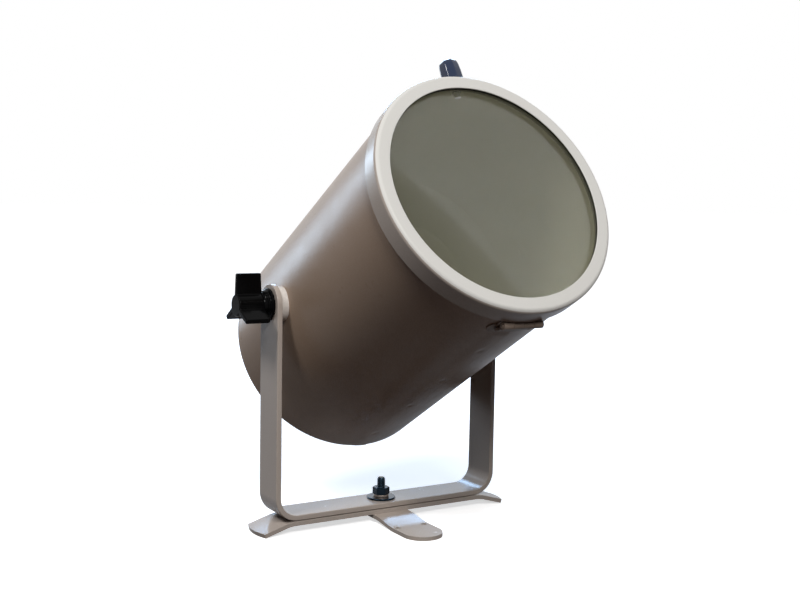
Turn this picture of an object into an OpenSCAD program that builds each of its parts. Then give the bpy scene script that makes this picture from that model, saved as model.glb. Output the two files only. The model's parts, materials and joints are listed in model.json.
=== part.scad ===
// Floor-standing par can on a bent-bar yoke with two crossed foot bars.
// Millimetres, +Z up, front of the can towards -Y, pivot axis along X.
// The origin is on the floor, under the centre bolt, in the middle of the four floor screw holes.
// Pieces of the can are drawn with the can pointing along +Z and its top at +Y,
// and in_can() then tilts them about the pivot axis.

/* [Can] */
// Outer radius of the can
can_r = 108; // [104:0.5:114]
// Sheet thickness of the can
can_wall = 1.2; // [0.8:0.1:1.6]
// Pivot axis to the front edge of the can
can_front = 200; // [185:1:220]
// Pivot axis to the rear edge of the can
can_back = 106.7; // [104:0.1:125]
// Tilt of the can above level
tilt = 30.5; // [0:0.5:60]
// Height of the pivot axis above the floor
pivot_z = 209.5; // [200:0.5:240]
// Width of the lap seam along the bottom
seam_w = 13; // [8:0.5:18]
// Height of the lap seam over the sheet
seam_t = 0.9; // [0.5:0.1:1]
// Free edge of the lap, to the right of the bottom line
seam_edge_x = 3; // [0:0.5:6]

/* [Bezel] */
// Width of the bezel's front face, from the clear opening to its outside
bezel_face_w = 13; // [10:0.5:18]
// Sheet thickness of the bezel
bezel_wall = 1.3; // [1:0.1:1.6]
// Depth of the bezel from its face to the rear edge of its skirt
skirt_depth = 19; // [17:0.5:22]
// Radius of the bezel's outer front edge
bezel_round = 4; // [3:0.5:5]
// Radial gap between the can and the skirt
skirt_gap = 1.7; // [1.5:0.1:2.5]
// Thickness of the front glass
glass_t = 3.2; // [2.5:0.1:4]
// Thickness of each side of the rubber channel round the glass
gasket_flange = 1.5; // [1:0.1:2]
// Thickness of the rubber channel outside the glass
gasket_web = 1.6; // [1.2:0.1:2]
// Overlap of the rubber channel inside the clear opening's edge
gasket_setback = 0.5; // [0.3:0.1:1]
// Thickness of a glass clip
clip_t = 1.2; // [0.8:0.1:1.5]
// Width of a glass clip
clip_w = 12; // [8:1:20]
// How far a glass clip reaches in over the glass
clip_reach = 8; // [6:0.5:10]
// Number of glass clips
clip_count = 4; // [3:1:6]
// Gap between the front edge of the can and the glass clips
mouth_gap = 0.5; // [0.4:0.1:1]

/* [Bezel hinge] */
// Radius of a hinge knuckle
knuckle_r = 3.2; // [2.8:0.1:3.6]
// Radius of the hinge pin
hinge_pin_r = 1.6; // [1.2:0.1:2]
// Length of one knuckle
knuckle_len = 9.8; // [8:0.1:12]
// Number of knuckles, half of them on each leaf
knuckle_count = 4; // [4:2:6]
// Width of the leaf on the can
leaf_w = 48; // [48:1:60]
// Length of the leaf on the can, behind the pin
leaf_len = 18; // [15:0.5:22]
// Thickness of a hinge leaf
leaf_t = 1.1; // [0.8:0.1:1.2]
// Corner radius of the leaf
leaf_round = 6; // [2:0.5:7]
// Distance between the two hinge rivets
rivet_spacing = 31; // [24:1:34]
// Radius of a rivet's head
rivet_head_r = 3.8; // [3:0.1:4.5]
// Height of a rivet's head
rivet_head_h = 1.6; // [1:0.1:2]
// Radius of a rivet's shank
rivet_r = 1.8; // [1.2:0.1:2.2]

/* [Bezel latch] */
// Distance of the latch behind the bezel's face
latch_back = 13.2; // [12:0.1:14]
// Radius of the latch screw
latch_screw_r = 2.5; // [2:0.1:3]
// Radius of the latch knob over its corners
latch_knob_r = 10.7; // [9:0.1:12]
// Height of the knob's faceted foot
latch_foot_h = 9.5; // [8:0.5:11]
// Height of the knob's taper over its foot
latch_taper_h = 7; // [5:0.5:8]
// Height of the whole knob
latch_knob_h = 22; // [20:0.5:24]
// Radius of the knob's domed top
latch_top_r = 8.5; // [6:0.5:9]
// Width of the square nut inside the can
latch_nut_w = 7; // [7:0.5:8]
// Thickness of the square nut
latch_nut_t = 4.4; // [3:0.1:5]
// Radius of the fibre washer under the knob
latch_washer_r = 8.5; // [6:0.5:9]
// Thickness of the fibre washer
latch_washer_t = 1; // [0.6:0.1:1.5]

/* [Yoke] */
// Width of the yoke's flat bar
yoke_w = 37; // [34:0.5:42]
// Thickness of the yoke's flat bar
yoke_t = 5; // [4:0.1:6]
// Inside radius of the yoke's bends
yoke_bend_r = 17; // [10:0.5:20]
// Length of the spacer between the can and an arm
spacer_len = 7; // [5:0.5:12]
// Radius of the spacer
spacer_r = 16; // [12:0.5:17]

/* [Tilt clamps] */
// Radius of the pivot studs
stud_r = 5; // [4:0.5:6]
// Length of a stud outside its arm
stud_out = 26; // [20:1:29]
// Width across the flats of the nut inside the can
pivot_nut_af = 17; // [15:0.5:19]
// Thickness of the nut inside the can
pivot_nut_t = 6; // [4:0.5:8]
// Radius of the knob's flange against the arm
knob_flange_r = 14.6; // [13:0.1:16]
// Thickness of the knob's flange
knob_flange_t = 3; // [2:0.1:4]
// Length of the neck between the flange and the wings
knob_neck_len = 5; // [4:0.5:7]
// Radius of the knob over its upright wing
knob_r = 28.5; // [25:0.5:32]
// Radius of the knob over its two lower wings
knob_low_r = 26; // [24:0.5:30]
// Thickness of a wing
wing_t = 7; // [5:0.5:9]
// Length of a wing along the stud
wing_len = 24.5; // [22:0.5:28]
// Radius of the knob's hub
knob_hub_r = 10; // [9:0.5:11]
// Outer radius of the brass thread insert
insert_r = 7.5; // [7:0.1:8]
// Length of the brass thread insert
insert_len = 14; // [10:1:18]

/* [Foot bars] */
// Width of both foot bars
foot_w = 38; // [36:0.5:42]
// Half length of the long foot bar
long_half = 134; // [125:1:145]
// Thickness of the long foot bar
long_t = 4; // [3.5:0.1:5]
// Distance from the middle to the long bar's bends
long_bend_x = 104; // [96:1:110]
// Radius of the long bar's rounded ends
long_end_r = 48; // [25:1:60]
// Length of the cross foot bar from the middle to its round front end
cross_front = 94; // [88:1:110]
// Distance from the rear floor screw holes to the cross foot bar's square rear end
cross_back_margin = 5.5; // [4.5:0.5:20]
// Thickness of the cross foot bar
cross_t = 3.6; // [3:0.1:4.5]
// Clear height under the middle of the cross foot bar
cross_lift = 3.8; // [3.4:0.1:6]
// Distance from the middle to the start of the cross bar's slope
cross_slope_y = 26; // [22:1:30]
// Distance from the middle to the flat pad of the cross bar
pad_y = 53; // [48:0.5:53]
// Distance between the floor screw holes across the cross bar
screw_hole_dx = 28; // [24:0.5:29]
// Distance between the floor screw holes along the cross bar
screw_hole_dy = 113; // [113:0.5:120]
// Radius of the floor screw holes
screw_hole_r = 2.75; // [2:0.05:2.9]

/* [Centre bolt] */
// Radius of the centre bolt
bolt_r = 4; // [3.5:0.1:5]
// Height of the bolt's end above the floor
bolt_top = 37.5; // [34:0.5:45]
// Radius of the bolt's head
bolt_head_r = 10; // [8:0.5:11]
// Thickness of the bolt's head
bolt_head_t = 2.6; // [2:0.1:3]
// Side of the bolt's square neck
bolt_neck = 9; // [8.5:0.1:10]
// Thickness of the fibre washer under the yoke
pan_washer_t = 0.6; // [0.4:0.1:1]
// Outer radius of the fibre washer under the yoke
pan_washer_r = 15; // [12:0.5:17]
// Outer radius of the large washer
clamp_washer_r = 13.8; // [12:0.1:16]
// Thickness of the large washer
clamp_washer_t = 2; // [1.2:0.1:2.5]
// Outer radius of the lock washer
lock_washer_r = 7.4; // [6.5:0.1:8]
// Thickness of the lock washer
lock_washer_t = 2; // [1.2:0.1:2.5]
// Width of the lock washer's split
lock_split = 1.4; // [1:0.1:2]
// Width across the flats of the clamp nut
clamp_nut_af = 14.3; // [13:0.1:17]
// Thickness of the clamp nut
clamp_nut_t = 7.2; // [5:0.1:8]

/* [Rear cover] */
// Thickness of the rear cover
cover_t = 1.2; // [1:0.1:2]
// Number of vent slots in each ring
vent_count = 20; // [12:1:24]
// Distance from the outer vent slots to the can's wall
vent_margin = 14.8; // [13.5:0.1:20]
// Radius of the inner ring of vent slots
vent_inner_r = 36; // [34:1:38]
// Length of an outer vent slot
vent_len = 16; // [10:1:17]
// Length of an inner vent slot
vent_inner_len = 10; // [8:1:12]
// Width of a vent slot
vent_w = 4; // [3:0.5:4.5]
// Width of a cover lug
lug_w = 16; // [14:1:20]
// Length of a cover lug along the can
lug_len = 14; // [10:1:18]
// Sheet thickness of a cover lug
lug_t = 2; // [1.5:0.1:2.5]
// Reach of a cover lug in from the can
lug_reach = 11; // [11:0.5:13]
// Radius of the M4 screws
screw_r = 2; // [1.5:0.1:2.2]
// Radius of the screw heads
screw_head_r = 3.8; // [3.4:0.1:4]
// Height of the screw heads
screw_head_h = 2.4; // [1.5:0.1:3]

/* [Light engine] */
// Distance of the lamp plate's front behind the pivot axis
plate_back = 60; // [58:0.5:62]
// Thickness of the lamp plate
plate_t = 2; // [1.5:0.1:2.5]
// Radial gap between the lamp plate and the can
plate_gap = 2.8; // [2:0.1:5]
// Radius of the chassis rods
rod_r = 4; // [3.5:0.5:5]
// Distance from the middle of the chassis rods to the can's wall
rod_margin = 42.8; // [40:0.2:46]
// Radius of the heatsink
heatsink_r = 40; // [36:1:42]
// Thickness of the heatsink's base
heatsink_base_t = 6; // [4:0.5:8]
// Height of the heatsink's fins
heatsink_fin_h = 27; // [20:1:28]
// Thickness of one fin
fin_t = 2; // [1.5:0.1:3]
// Distance from fin to fin
fin_pitch = 7; // [6:0.5:9]
// Side of the lamp board
board_w = 60; // [58:1:66]
// Thickness of the lamp board
board_t = 1.6; // [1:0.1:2]
// Radius of the light-emitting patch
emitter_r = 10; // [8:0.5:11]
// Thickness of the light-emitting patch
emitter_t = 1; // [0.6:0.1:1.5]
// Radius of the reflector's throat
throat_r = 13; // [12:0.5:14]
// Radius of the reflector's mouth
reflector_r = 40; // [36:1:46]
// Focal length of the reflector
focal = 13; // [12.5:0.5:16]
// Wall of the reflector
reflector_wall = 1.2; // [0.8:0.1:1.6]
// Width of the reflector's foot flange
reflector_foot_w = 10.5; // [10:0.5:11.5]
// Distance of the reflector's screws from the middle
reflector_screw_ring_r = 21.8; // [21.5:0.1:22]

/* [Supply] */
// Length of the driver's case
driver_w = 84; // [70:1:92]
// Height of the driver's case
driver_h = 30; // [26:1:34]
// Depth of the driver's case
driver_d = 22; // [18:1:26]
// Gap between the driver's far corners and the can's wall
driver_gap = 10.2; // [6:0.2:12]
// Length of each fixing ear of the driver
driver_ear = 8; // [7:0.5:9]
// Width of the terminal block
terminal_w = 30; // [20:1:34]
// Height of the terminal block
terminal_h = 14; // [10:1:16]
// Depth of the terminal block
terminal_d = 12; // [10:1:16]
// Distance from the middle of the power inlet and the terminal block to the can's wall
inlet_margin = 41.8; // [41:0.1:43]
// Width of the power inlet's body
inlet_w = 27; // [26:0.5:28]
// Height of the power inlet's body
inlet_h = 19.8; // [19:0.1:21]
// Depth of the power inlet's body
inlet_d = 19; // [17:0.5:22]
// Width of the power inlet's flange
inlet_flange_w = 50; // [48:0.5:52]
// Height of the power inlet's flange
inlet_flange_h = 22.5; // [21:0.5:24]
// Thickness of the power inlet's flange
inlet_flange_t = 2.4; // [2:0.1:3]
// Distance between the power inlet's two screws
inlet_screw_dx = 40; // [38:0.5:42]
// Radius of the power leads
lead_r = 1.6; // [1.2:0.1:2]
// Distance between two leads, side by side
lead_pitch = 8; // [6:0.5:10]

/* [Hidden] */
$fn = 96;
// radial clearance of a shaft that turns in a bore
running = 0.06;
// gap between two faces that slide past each other
slide_gap = 0.2;
// radial clearance of a screw in its hole
screw_clear = 0.3;
// clearance between pieces fixed to each other
seat = 0.05;
// a cut runs past the face it opens by this much
cut = 1;
small_fn = 48;
// for a large round that cuts a small piece
fine_fn = 288;
// a hexagon's corners are trimmed to this share of their radius
corner_trim = 0.97;

// places along the can, forwards of the pivot axis
clip_z = can_front + mouth_gap;
gasket_z = clip_z + clip_t;
glass_z = gasket_z + gasket_flange;
lip_z = glass_z + glass_t + gasket_flange;
bezel_z = lip_z + bezel_wall;
skirt_z = bezel_z - skirt_depth;
latch_z = bezel_z - latch_back;

// radii round the can's axis
can_in_r = can_r - can_wall;
skirt_in_r = can_r + skirt_gap;
skirt_r = skirt_in_r + bezel_wall;
lens_r = skirt_r - bezel_face_w;
gasket_r = skirt_r - bezel_round;
glass_r = gasket_r - gasket_web;

// bezel hinge: the pin lies under the can, just behind the skirt
hinge_clear = 0.8;
hinge_y = -(can_r + slide_gap + knuckle_r);
hinge_z = skirt_z - knuckle_r - hinge_clear;
hinge_w = knuckle_len * knuckle_count;
knuckle_gap = 0.3;
// each leaf stops this far from the pin where the other leaf has its knuckle
hinge_relief = knuckle_r + knuckle_gap;
hinge_pin_over = 1;
bezel_leaf_len = 13;
rivet_back = 11;
rivet_tail = 2;
seam_end_z = hinge_z - leaf_len - 2;

// bezel latch, outwards from the can's axis
latch_nut_gap = 0.4;
latch_notch_r = latch_screw_r + 0.4;
latch_washer_z = skirt_r + seat;
latch_knob_z = latch_washer_z + latch_washer_t;
latch_nut_z = can_in_r - latch_nut_gap - latch_nut_t;
latch_screw_tail = 5;
latch_screw_end = latch_nut_z - latch_screw_tail;
latch_screw_top = latch_knob_z + latch_foot_h + 2;
latch_turn = 10;
// the taper starts just inside the flats of the eight-sided foot
latch_taper_r = latch_knob_r * cos(22.5) - 0.4;

// the yoke's arms and base
arm_x = can_r + spacer_len;
arm_out_x = arm_x + yoke_t;
long_z = cross_lift + cross_t;
cross_back = screw_hole_dy / 2 + cross_back_margin;
yoke_z = long_z + long_t + pan_washer_t;
yoke_top_z = yoke_z + yoke_t;
lock_washer_z = yoke_top_z + clamp_washer_t;
clamp_nut_z = lock_washer_z + lock_washer_t;

// the tilt knobs, outwards from the arms
knob_x = arm_out_x + slide_gap;
neck_step = 1.5;
knob_bore = stud_out + 1;
// the nut's inner corners touch the can's wall
pivot_nut_x = sqrt(can_in_r * can_in_r - pivot_nut_af * pivot_nut_af / 3) - pivot_nut_t;
pivot_stud_end = pivot_nut_x - 2;

// the light engine, backwards from the lamp plate
plate_z = -plate_back - plate_t;
cover_z = -can_back;
board_z = -plate_back;
emitter_z = board_z + board_t;
heatsink_z = plate_z - heatsink_base_t;
rod_ring_r = can_in_r - rod_margin;
rod_turn = 20;
vent_ring_r = can_in_r - vent_margin - vent_len / 2;
// the fins stop this far inside the base's edge
fin_inset = 0.8;
lug_screw_r = can_in_r - lug_reach + screw_head_r + 1;
reflector_screw_r = 1.25;
reflector_foot_t = 1.5;
reflector_rim_w = 2.5;

// the supply
inlet_up = can_in_r - inlet_margin;
driver_corner_r = can_in_r - driver_gap;
driver_down = sqrt(driver_corner_r * driver_corner_r - driver_w * driver_w / 4) - driver_h / 2;
driver_ear_t = 2;
driver_screw_x = (driver_w + driver_ear) / 2;
inlet_z = cover_z - cover_t - inlet_flange_t;
inlet_wall = 2;
inlet_web = 3;
pin_w = 2;
pin_t = 4;
pin_dx = 7;
pin_dy = 4;
pin_out = 4;
terminal_hole_r = 2.2;
terminal_hole_len = 4;

// lengths of the screws' shanks
cover_screw_len = 6;
chassis_screw_len = 8;
inlet_screw_len = 8;
driver_screw_len = plate_t + 4;

// a direction that no lead runs along
lead_side = [0.36, 0.48, 0.8];
// a lead leaves or meets a piece square to it for this length
lead_start = 6;
// the leads pass on either side between the heatsink and the chassis rods
lead_gap = 1.5;
lane_x = rod_ring_r * cos(rod_turn) - rod_r - lead_r - lead_gap;
lane_low_y = -0.75 * heatsink_r;
lane_high_y = 0.5 * heatsink_r;
lane_top_y = 1.2 * heatsink_r;
// the lamp leads pass through the lamp plate under the terminal block
lead_hole_gap = 4;
lead_hole_y = inlet_up - terminal_h / 2 - lead_hole_gap;
driver_top_y = driver_h / 2 - driver_down;
// a lamp lead runs from the driver's top round the heatsink and through the lamp plate to the board
lamp_depth = plate_z - driver_d / 2;
lamp_lead_x = driver_w / 2 - 8;
land_y = board_w / 2 - 3;
lamp_route = [
    [lamp_lead_x, driver_top_y, lamp_depth], [lamp_lead_x, driver_top_y + lead_start, lamp_depth],
    [lane_x, lane_low_y, lamp_depth], [lane_x, lane_high_y, lamp_depth],
    [heatsink_r / 2, lead_hole_y - 3, lamp_depth],
    [lead_pitch / 2, lead_hole_y, plate_z - lead_start], [lead_pitch / 2, lead_hole_y, board_z],
    [lead_pitch / 2, lead_hole_y - 6, board_z + 8], [lead_pitch / 2, land_y + 1, board_z + 9],
    [lead_pitch / 2, land_y, emitter_z + 4], [lead_pitch / 2, land_y, emitter_z]
];
// a driver lead runs from the side of the terminal block round the heatsink to the driver's top
driver_depth = plate_z - driver_d + 4;
driver_lead_x = driver_w / 2 - 18;
driver_route = [
    [terminal_w / 2, inlet_up, plate_z - terminal_d / 2],
    [terminal_w / 2 + lead_start, inlet_up, plate_z - terminal_d / 2],
    [lane_x - 3, lane_top_y, driver_depth - 2], [lane_x, 0, driver_depth - 4],
    [lane_x - 4, lane_low_y, driver_depth - 2],
    [driver_lead_x, driver_top_y + lead_start, driver_depth], [driver_lead_x, driver_top_y, driver_depth]
];
// a mains lead runs straight for this length out of a pin and into the terminal block
mains_start = 3;

// places what is drawn along the can's axis
module in_can() {
    translate([0, 0, pivot_z]) rotate([90 - tilt, 0, 0]) children();
}

// a tube along Z from z0 to z1
module tube(r_out, r_in, z0, z1) {
    translate([0, 0, z0]) difference() {
        cylinder(h = z1 - z0, r = r_out);
        translate([0, 0, -cut]) cylinder(h = z1 - z0 + 2 * cut, r = r_in);
    }
}

// a hexagonal prism with round-trimmed corners, along Z
module hex_prism(af, h) {
    corner_r = af / 2 / cos(30);
    intersection() {
        cylinder(h = h, r = corner_r, $fn = 6);
        cylinder(h = h, r = corner_r * corner_trim, $fn = small_fn);
    }
}

// a screw with a domed head, its head's seat at z = 0 and its shank along -Z
module domed_screw(shank_r, length, head_r, head_h) {
    ball_r = (head_r * head_r + head_h * head_h) / (2 * head_h);
    translate([0, 0, -length]) cylinder(h = length, r = shank_r, $fn = small_fn);
    intersection() {
        cylinder(h = head_h, r = head_r, $fn = small_fn);
        translate([0, 0, head_h - ball_r]) sphere(r = ball_r, $fn = small_fn);
    }
}

// a flat slot with round ends, standing out along X from the middle
module slot_2d(ring_r, length, width) {
    translate([ring_r, 0]) {
        square([length - width, width], center = true);
        for (end = [-1, 1]) translate([end * (length - width) / 2, 0]) circle(d = width, $fn = 24);
    }
}

// a rectangle with rounded corners, centred
module rounded_2d(w, h, r) {
    square([w - 2 * r, h], center = true);
    square([w, h - 2 * r], center = true);
    for (sx = [-1, 1], sy = [-1, 1])
        translate([sx * (w / 2 - r), sy * (h / 2 - r)]) circle(r = r, $fn = small_fn);
}

// a point on the smooth curve from p1 to p2, with p0 and p3 on either side of them
function curve_point(p0, p1, p2, p3, t) = 0.5 * (2 * p1 + (p2 - p0) * t
    + (2 * p0 - 5 * p1 + 4 * p2 - p3) * t * t + (3 * p1 - p0 - 3 * p2 + p3) * t * t * t);

function smooth_route(p, steps) = [
    for (i = [0:len(p) - 2], k = [0:steps - 1])
        curve_point(p[max(i - 1, 0)], p[i], p[i + 1], p[min(i + 2, len(p) - 1)], k / steps),
    p[len(p) - 1]
];

function unit(v) = v / norm(v);

// the ring of a lead's surface round one point of its route
function lead_ring(centre, along, r, sides) =
    let (across = unit(cross(along, lead_side)), over = cross(along, across))
    [for (k = [0:sides - 1]) centre + r * (cos(360 * k / sides) * across + sin(360 * k / sides) * over)];

// a round lead along a smooth curve through the points, its ends square to its first and last leg
module lead(points, r) {
    sides = 8;
    route = smooth_route(points, 4);
    last = len(route) - 1;
    along = [
        points[1] - points[0],
        for (i = [1:last - 1]) route[i + 1] - route[i - 1],
        points[len(points) - 1] - points[len(points) - 2]
    ];
    surface = [for (i = [0:last]) each lead_ring(route[i], unit(along[i]), r, sides)];
    walls = [for (i = [0:last - 1], k = [0:sides - 1])
        let (a = i * sides + k, b = i * sides + (k + 1) % sides)
        each [[a, b, b + sides], [a, b + sides, a + sides]]];
    ends = [[for (k = [sides - 1:-1:0]) k], [for (k = [0:sides - 1]) last * sides + k]];
    polyhedron(points = surface, faces = concat(walls, ends));
}

// side view of a foot bar from its middle outwards, mirrored about the middle
function bar_outline(xs, zs, t) = concat(
    [for (i = [len(xs) - 1:-1:0]) [-xs[i], zs[i]]],
    [for (i = [0:len(xs) - 1]) [xs[i], zs[i]]],
    [for (i = [len(xs) - 1:-1:0]) [xs[i], zs[i] + t]],
    [for (i = [0:len(xs) - 1]) [-xs[i], zs[i] + t]]
);

module foot_long() {
    color("#c9c2ba") difference() {
        intersection() {
            rotate([90, 0, 0]) linear_extrude(foot_w, center = true)
                polygon(bar_outline([0.5, long_bend_x, long_half], [long_z, long_z, 0], long_t));
            linear_extrude(4 * long_z) intersection() {
                square([2 * long_half, foot_w], center = true);
                union() {
                    square([2 * (long_half - long_end_r), foot_w], center = true);
                    for (side = [-1, 1])
                        translate([side * (long_half - long_end_r), 0]) circle(r = long_end_r);
                }
            }
        }
        cylinder(h = yoke_z + cut, r = bolt_r + screw_clear);
    }
}

module foot_cross() {
    color("#c9c2ba") difference() {
        intersection() {
            rotate([90, 0, 90]) linear_extrude(foot_w, center = true) polygon(bar_outline(
                [0.5, cross_slope_y, pad_y, cross_front], [cross_lift, cross_lift, 0, 0], cross_t));
            linear_extrude(4 * long_z) translate([0, foot_w / 2 - cross_front]) {
                translate([-foot_w / 2, 0]) square([foot_w, cross_front - foot_w / 2 + cross_back]);
                circle(d = foot_w);
            }
        }
        neck_hole = bolt_neck + 2 * seat;
        translate([-neck_hole / 2, -neck_hole / 2, -cut]) cube([neck_hole, neck_hole, yoke_z]);
        for (sx = [-1, 1], sy = [-1, 1])
            translate([sx * screw_hole_dx / 2, sy * screw_hole_dy / 2, -cut])
                cylinder(h = cross_t + 2 * cut, r = screw_hole_r, $fn = small_fn);
    }
}

module centre_bolt() {
    chamfer = 0.8;
    color("#4a5058") {
        translate([0, 0, cross_lift - bolt_head_t]) cylinder(h = bolt_head_t, r = bolt_head_r);
        translate([-bolt_neck / 2, -bolt_neck / 2, cross_lift]) cube([bolt_neck, bolt_neck, cross_t]);
        translate([0, 0, long_z]) cylinder(h = bolt_top - chamfer - long_z, r = bolt_r);
        translate([0, 0, bolt_top - chamfer]) cylinder(h = chamfer, r1 = bolt_r, r2 = bolt_r - chamfer);
    }
}

module pan_washer() {
    color("#2c2622") tube(pan_washer_r, bolt_r + screw_clear, long_z + long_t, yoke_z);
}

module clamp_washer() {
    color("#3d434b") tube(clamp_washer_r, bolt_r + screw_clear, yoke_top_z, lock_washer_z);
}

module lock_washer() {
    color("#6b6560") difference() {
        tube(lock_washer_r, bolt_r + screw_clear, lock_washer_z, clamp_nut_z);
        translate([0, -lock_split / 2, lock_washer_z - cut])
            cube([lock_washer_r + cut, lock_split, lock_washer_t + 2 * cut]);
    }
}

module clamp_nut() {
    color("#30363f") difference() {
        translate([0, 0, clamp_nut_z]) rotate([0, 0, 30]) hex_prism(clamp_nut_af, clamp_nut_t);
        translate([0, 0, clamp_nut_z - cut]) cylinder(h = clamp_nut_t + 2 * cut, r = bolt_r + seat);
    }
}

// front view of the yoke: a wide U with round bends
module yoke_u(x, z, bend_r) {
    difference() {
        translate([-x, z]) square([2 * x, pivot_z + yoke_w - z]);
        for (side = [0, 1]) mirror([side, 0]) translate([x - bend_r, z]) difference() {
            translate([0, -cut]) square([bend_r + cut, bend_r + cut]);
            translate([0, bend_r]) circle(r = bend_r);
        }
    }
}

module yoke() {
    color("#c9c2ba") difference() {
        intersection() {
            rotate([90, 0, 0]) linear_extrude(yoke_w, center = true) difference() {
                yoke_u(arm_out_x, yoke_z, yoke_bend_r + yoke_t);
                yoke_u(arm_x, yoke_top_z, yoke_bend_r);
            }
            rotate([90, 0, 90]) linear_extrude(2 * arm_out_x, center = true) union() {
                translate([-yoke_w / 2, 0]) square([yoke_w, pivot_z]);
                translate([0, pivot_z]) circle(d = yoke_w);
            }
        }
        translate([-2 * arm_out_x, 0, pivot_z]) rotate([0, 90, 0])
            cylinder(h = 4 * arm_out_x, r = stud_r + running, $fn = small_fn);
        cylinder(h = yoke_top_z + cut, r = bolt_r + running, $fn = small_fn);
    }
}

module can_shell() {
    color("#a89c90") in_can() difference() {
        union() {
            tube(can_r, can_in_r, -can_back, can_front);
            intersection() {
                tube(can_r + seam_t, can_r - can_wall / 2, -can_back, seam_end_z);
                translate([seam_edge_x - seam_w, -2 * can_r, -can_back])
                    cube([seam_w, 2 * can_r, can_back + can_front]);
            }
        }
        rotate([0, 90, 0]) cylinder(h = 4 * can_r, r = stud_r + seat, center = true, $fn = small_fn);
        translate([0, can_r, latch_z]) rotate([90, 0, 0])
            cylinder(h = 4 * can_wall, r = latch_notch_r, center = true, $fn = small_fn);
        translate([-latch_notch_r, can_r - 2 * can_wall, latch_z])
            cube([2 * latch_notch_r, 4 * can_wall, can_front]);
        for (side = [-1, 1]) translate([side * rivet_spacing / 2, 0, hinge_z - rivet_back])
            rotate([90, 0, 0]) cylinder(h = 2 * can_r, r = rivet_r + seat, $fn = small_fn);
    }
}

// the three places of the cover lugs and their screws, round the rear cover
module at_lugs() {
    for (turn = [90, 210, 330]) rotate([0, 0, turn]) children();
}

module rear_cover() {
    color("#a89c90") in_can() difference() {
        translate([0, 0, cover_z - cover_t]) linear_extrude(cover_t) difference() {
            circle(r = can_r);
            for (i = [0:vent_count - 1]) {
                turn = (i + 0.5) * 360 / vent_count;
                if (abs(turn - 90) > 25) rotate(turn) slot_2d(vent_ring_r, vent_len, vent_w);
                rotate(turn) slot_2d(vent_inner_r, vent_inner_len, vent_w);
            }
            translate([0, inlet_up]) square([inlet_w + 2 * seat, inlet_h + 2 * seat], center = true);
            for (side = [-1, 1]) translate([side * inlet_screw_dx / 2, inlet_up])
                circle(r = screw_r + seat, $fn = small_fn);
        }
        at_lugs() translate([lug_screw_r, 0, cover_z - cover_t - cut])
            cylinder(h = cover_t + 2 * cut, r = screw_r + screw_clear, $fn = small_fn);
        at_rods() translate([rod_ring_r, 0, cover_z - cover_t - cut])
            cylinder(h = cover_t + 2 * cut, r = screw_r + screw_clear, $fn = small_fn);
    }
}

module cover_lugs() {
    color("#8c8580") in_can() at_lugs() difference() {
        intersection() {
            translate([can_in_r - lug_reach, -lug_w / 2, cover_z])
                cube([lug_reach, lug_w, lug_len]);
            cylinder(h = 4 * can_r, r = can_in_r, center = true, $fn = fine_fn);
        }
        translate([can_in_r - lug_reach - cut, -lug_w, cover_z + lug_t])
            cube([lug_reach + cut - lug_t, 2 * lug_w, lug_len]);
        translate([lug_screw_r, 0, cover_z - cut])
            cylinder(h = lug_t + 2 * cut, r = screw_r + seat, $fn = small_fn);
    }
}

module cover_screws() {
    color("#4a4f55") in_can() at_lugs() translate([lug_screw_r, 0, cover_z - cover_t])
        mirror([0, 0, 1]) domed_screw(screw_r, cover_screw_len, screw_head_r, screw_head_h);
}

module pivot_spacers() {
    color("#e4dfd8") in_can() for (side = [0, 1]) mirror([side, 0, 0]) difference() {
        translate([can_r - 3, 0, 0]) rotate([0, 90, 0])
            cylinder(h = spacer_len + 3 - slide_gap, r = spacer_r, $fn = small_fn);
        cylinder(h = 4 * can_r, r = can_r, center = true);
        rotate([0, 90, 0]) cylinder(h = 2 * can_r, r = stud_r + seat, $fn = small_fn);
    }
}

module pivot_studs() {
    color("#8d9299") in_can() for (side = [0, 1]) mirror([side, 0, 0])
        translate([pivot_stud_end, 0, 0]) rotate([0, 90, 0])
            cylinder(h = arm_out_x + stud_out - pivot_stud_end, r = stud_r, $fn = small_fn);
}

module pivot_nuts() {
    color("#5c6066") in_can() for (side = [0, 1]) mirror([side, 0, 0]) difference() {
        translate([pivot_nut_x, 0, 0]) rotate([0, 90, 0]) hex_prism(pivot_nut_af, pivot_nut_t);
        rotate([0, 90, 0]) cylinder(h = 2 * can_r, r = stud_r + seat, $fn = small_fn);
    }
}

// one tilt knob, drawn along +Z from the arm outwards
module wing_knob() {
    wing_z = knob_flange_t + knob_neck_len;
    reach = [knob_r, knob_low_r, knob_low_r] - [1, 1, 1] * wing_t / 2;
    color("#0d0d0f") difference() {
        union() {
            cylinder(h = knob_flange_t, r = knob_flange_r);
            translate([0, 0, knob_flange_t])
                cylinder(h = knob_neck_len, r1 = knob_flange_r - neck_step, r2 = knob_hub_r);
            translate([0, 0, wing_z]) linear_extrude(wing_len) {
                circle(r = knob_hub_r);
                for (i = [0:2]) rotate(120 * i) {
                    translate([0, -wing_t / 2]) square([reach[i], wing_t]);
                    translate([reach[i], 0]) circle(d = wing_t, $fn = small_fn);
                }
            }
        }
        translate([0, 0, -cut]) cylinder(h = knob_bore + cut, r = stud_r + running, $fn = small_fn);
        translate([0, 0, -cut]) cylinder(h = insert_len + seat + cut, r = insert_r + seat);
    }
}

module wing_insert() {
    color("#b8964c") tube(insert_r, stud_r + running, 0, insert_len);
}

// side 1 is the far arm at +X, side -1 the near arm at -X, one wing of each knob upright
module at_arm(side) {
    translate([side * knob_x, 0, pivot_z]) rotate([0, side * 90, 0])
        rotate([0, 0, side > 0 ? 180 : 0]) children();
}

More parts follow.
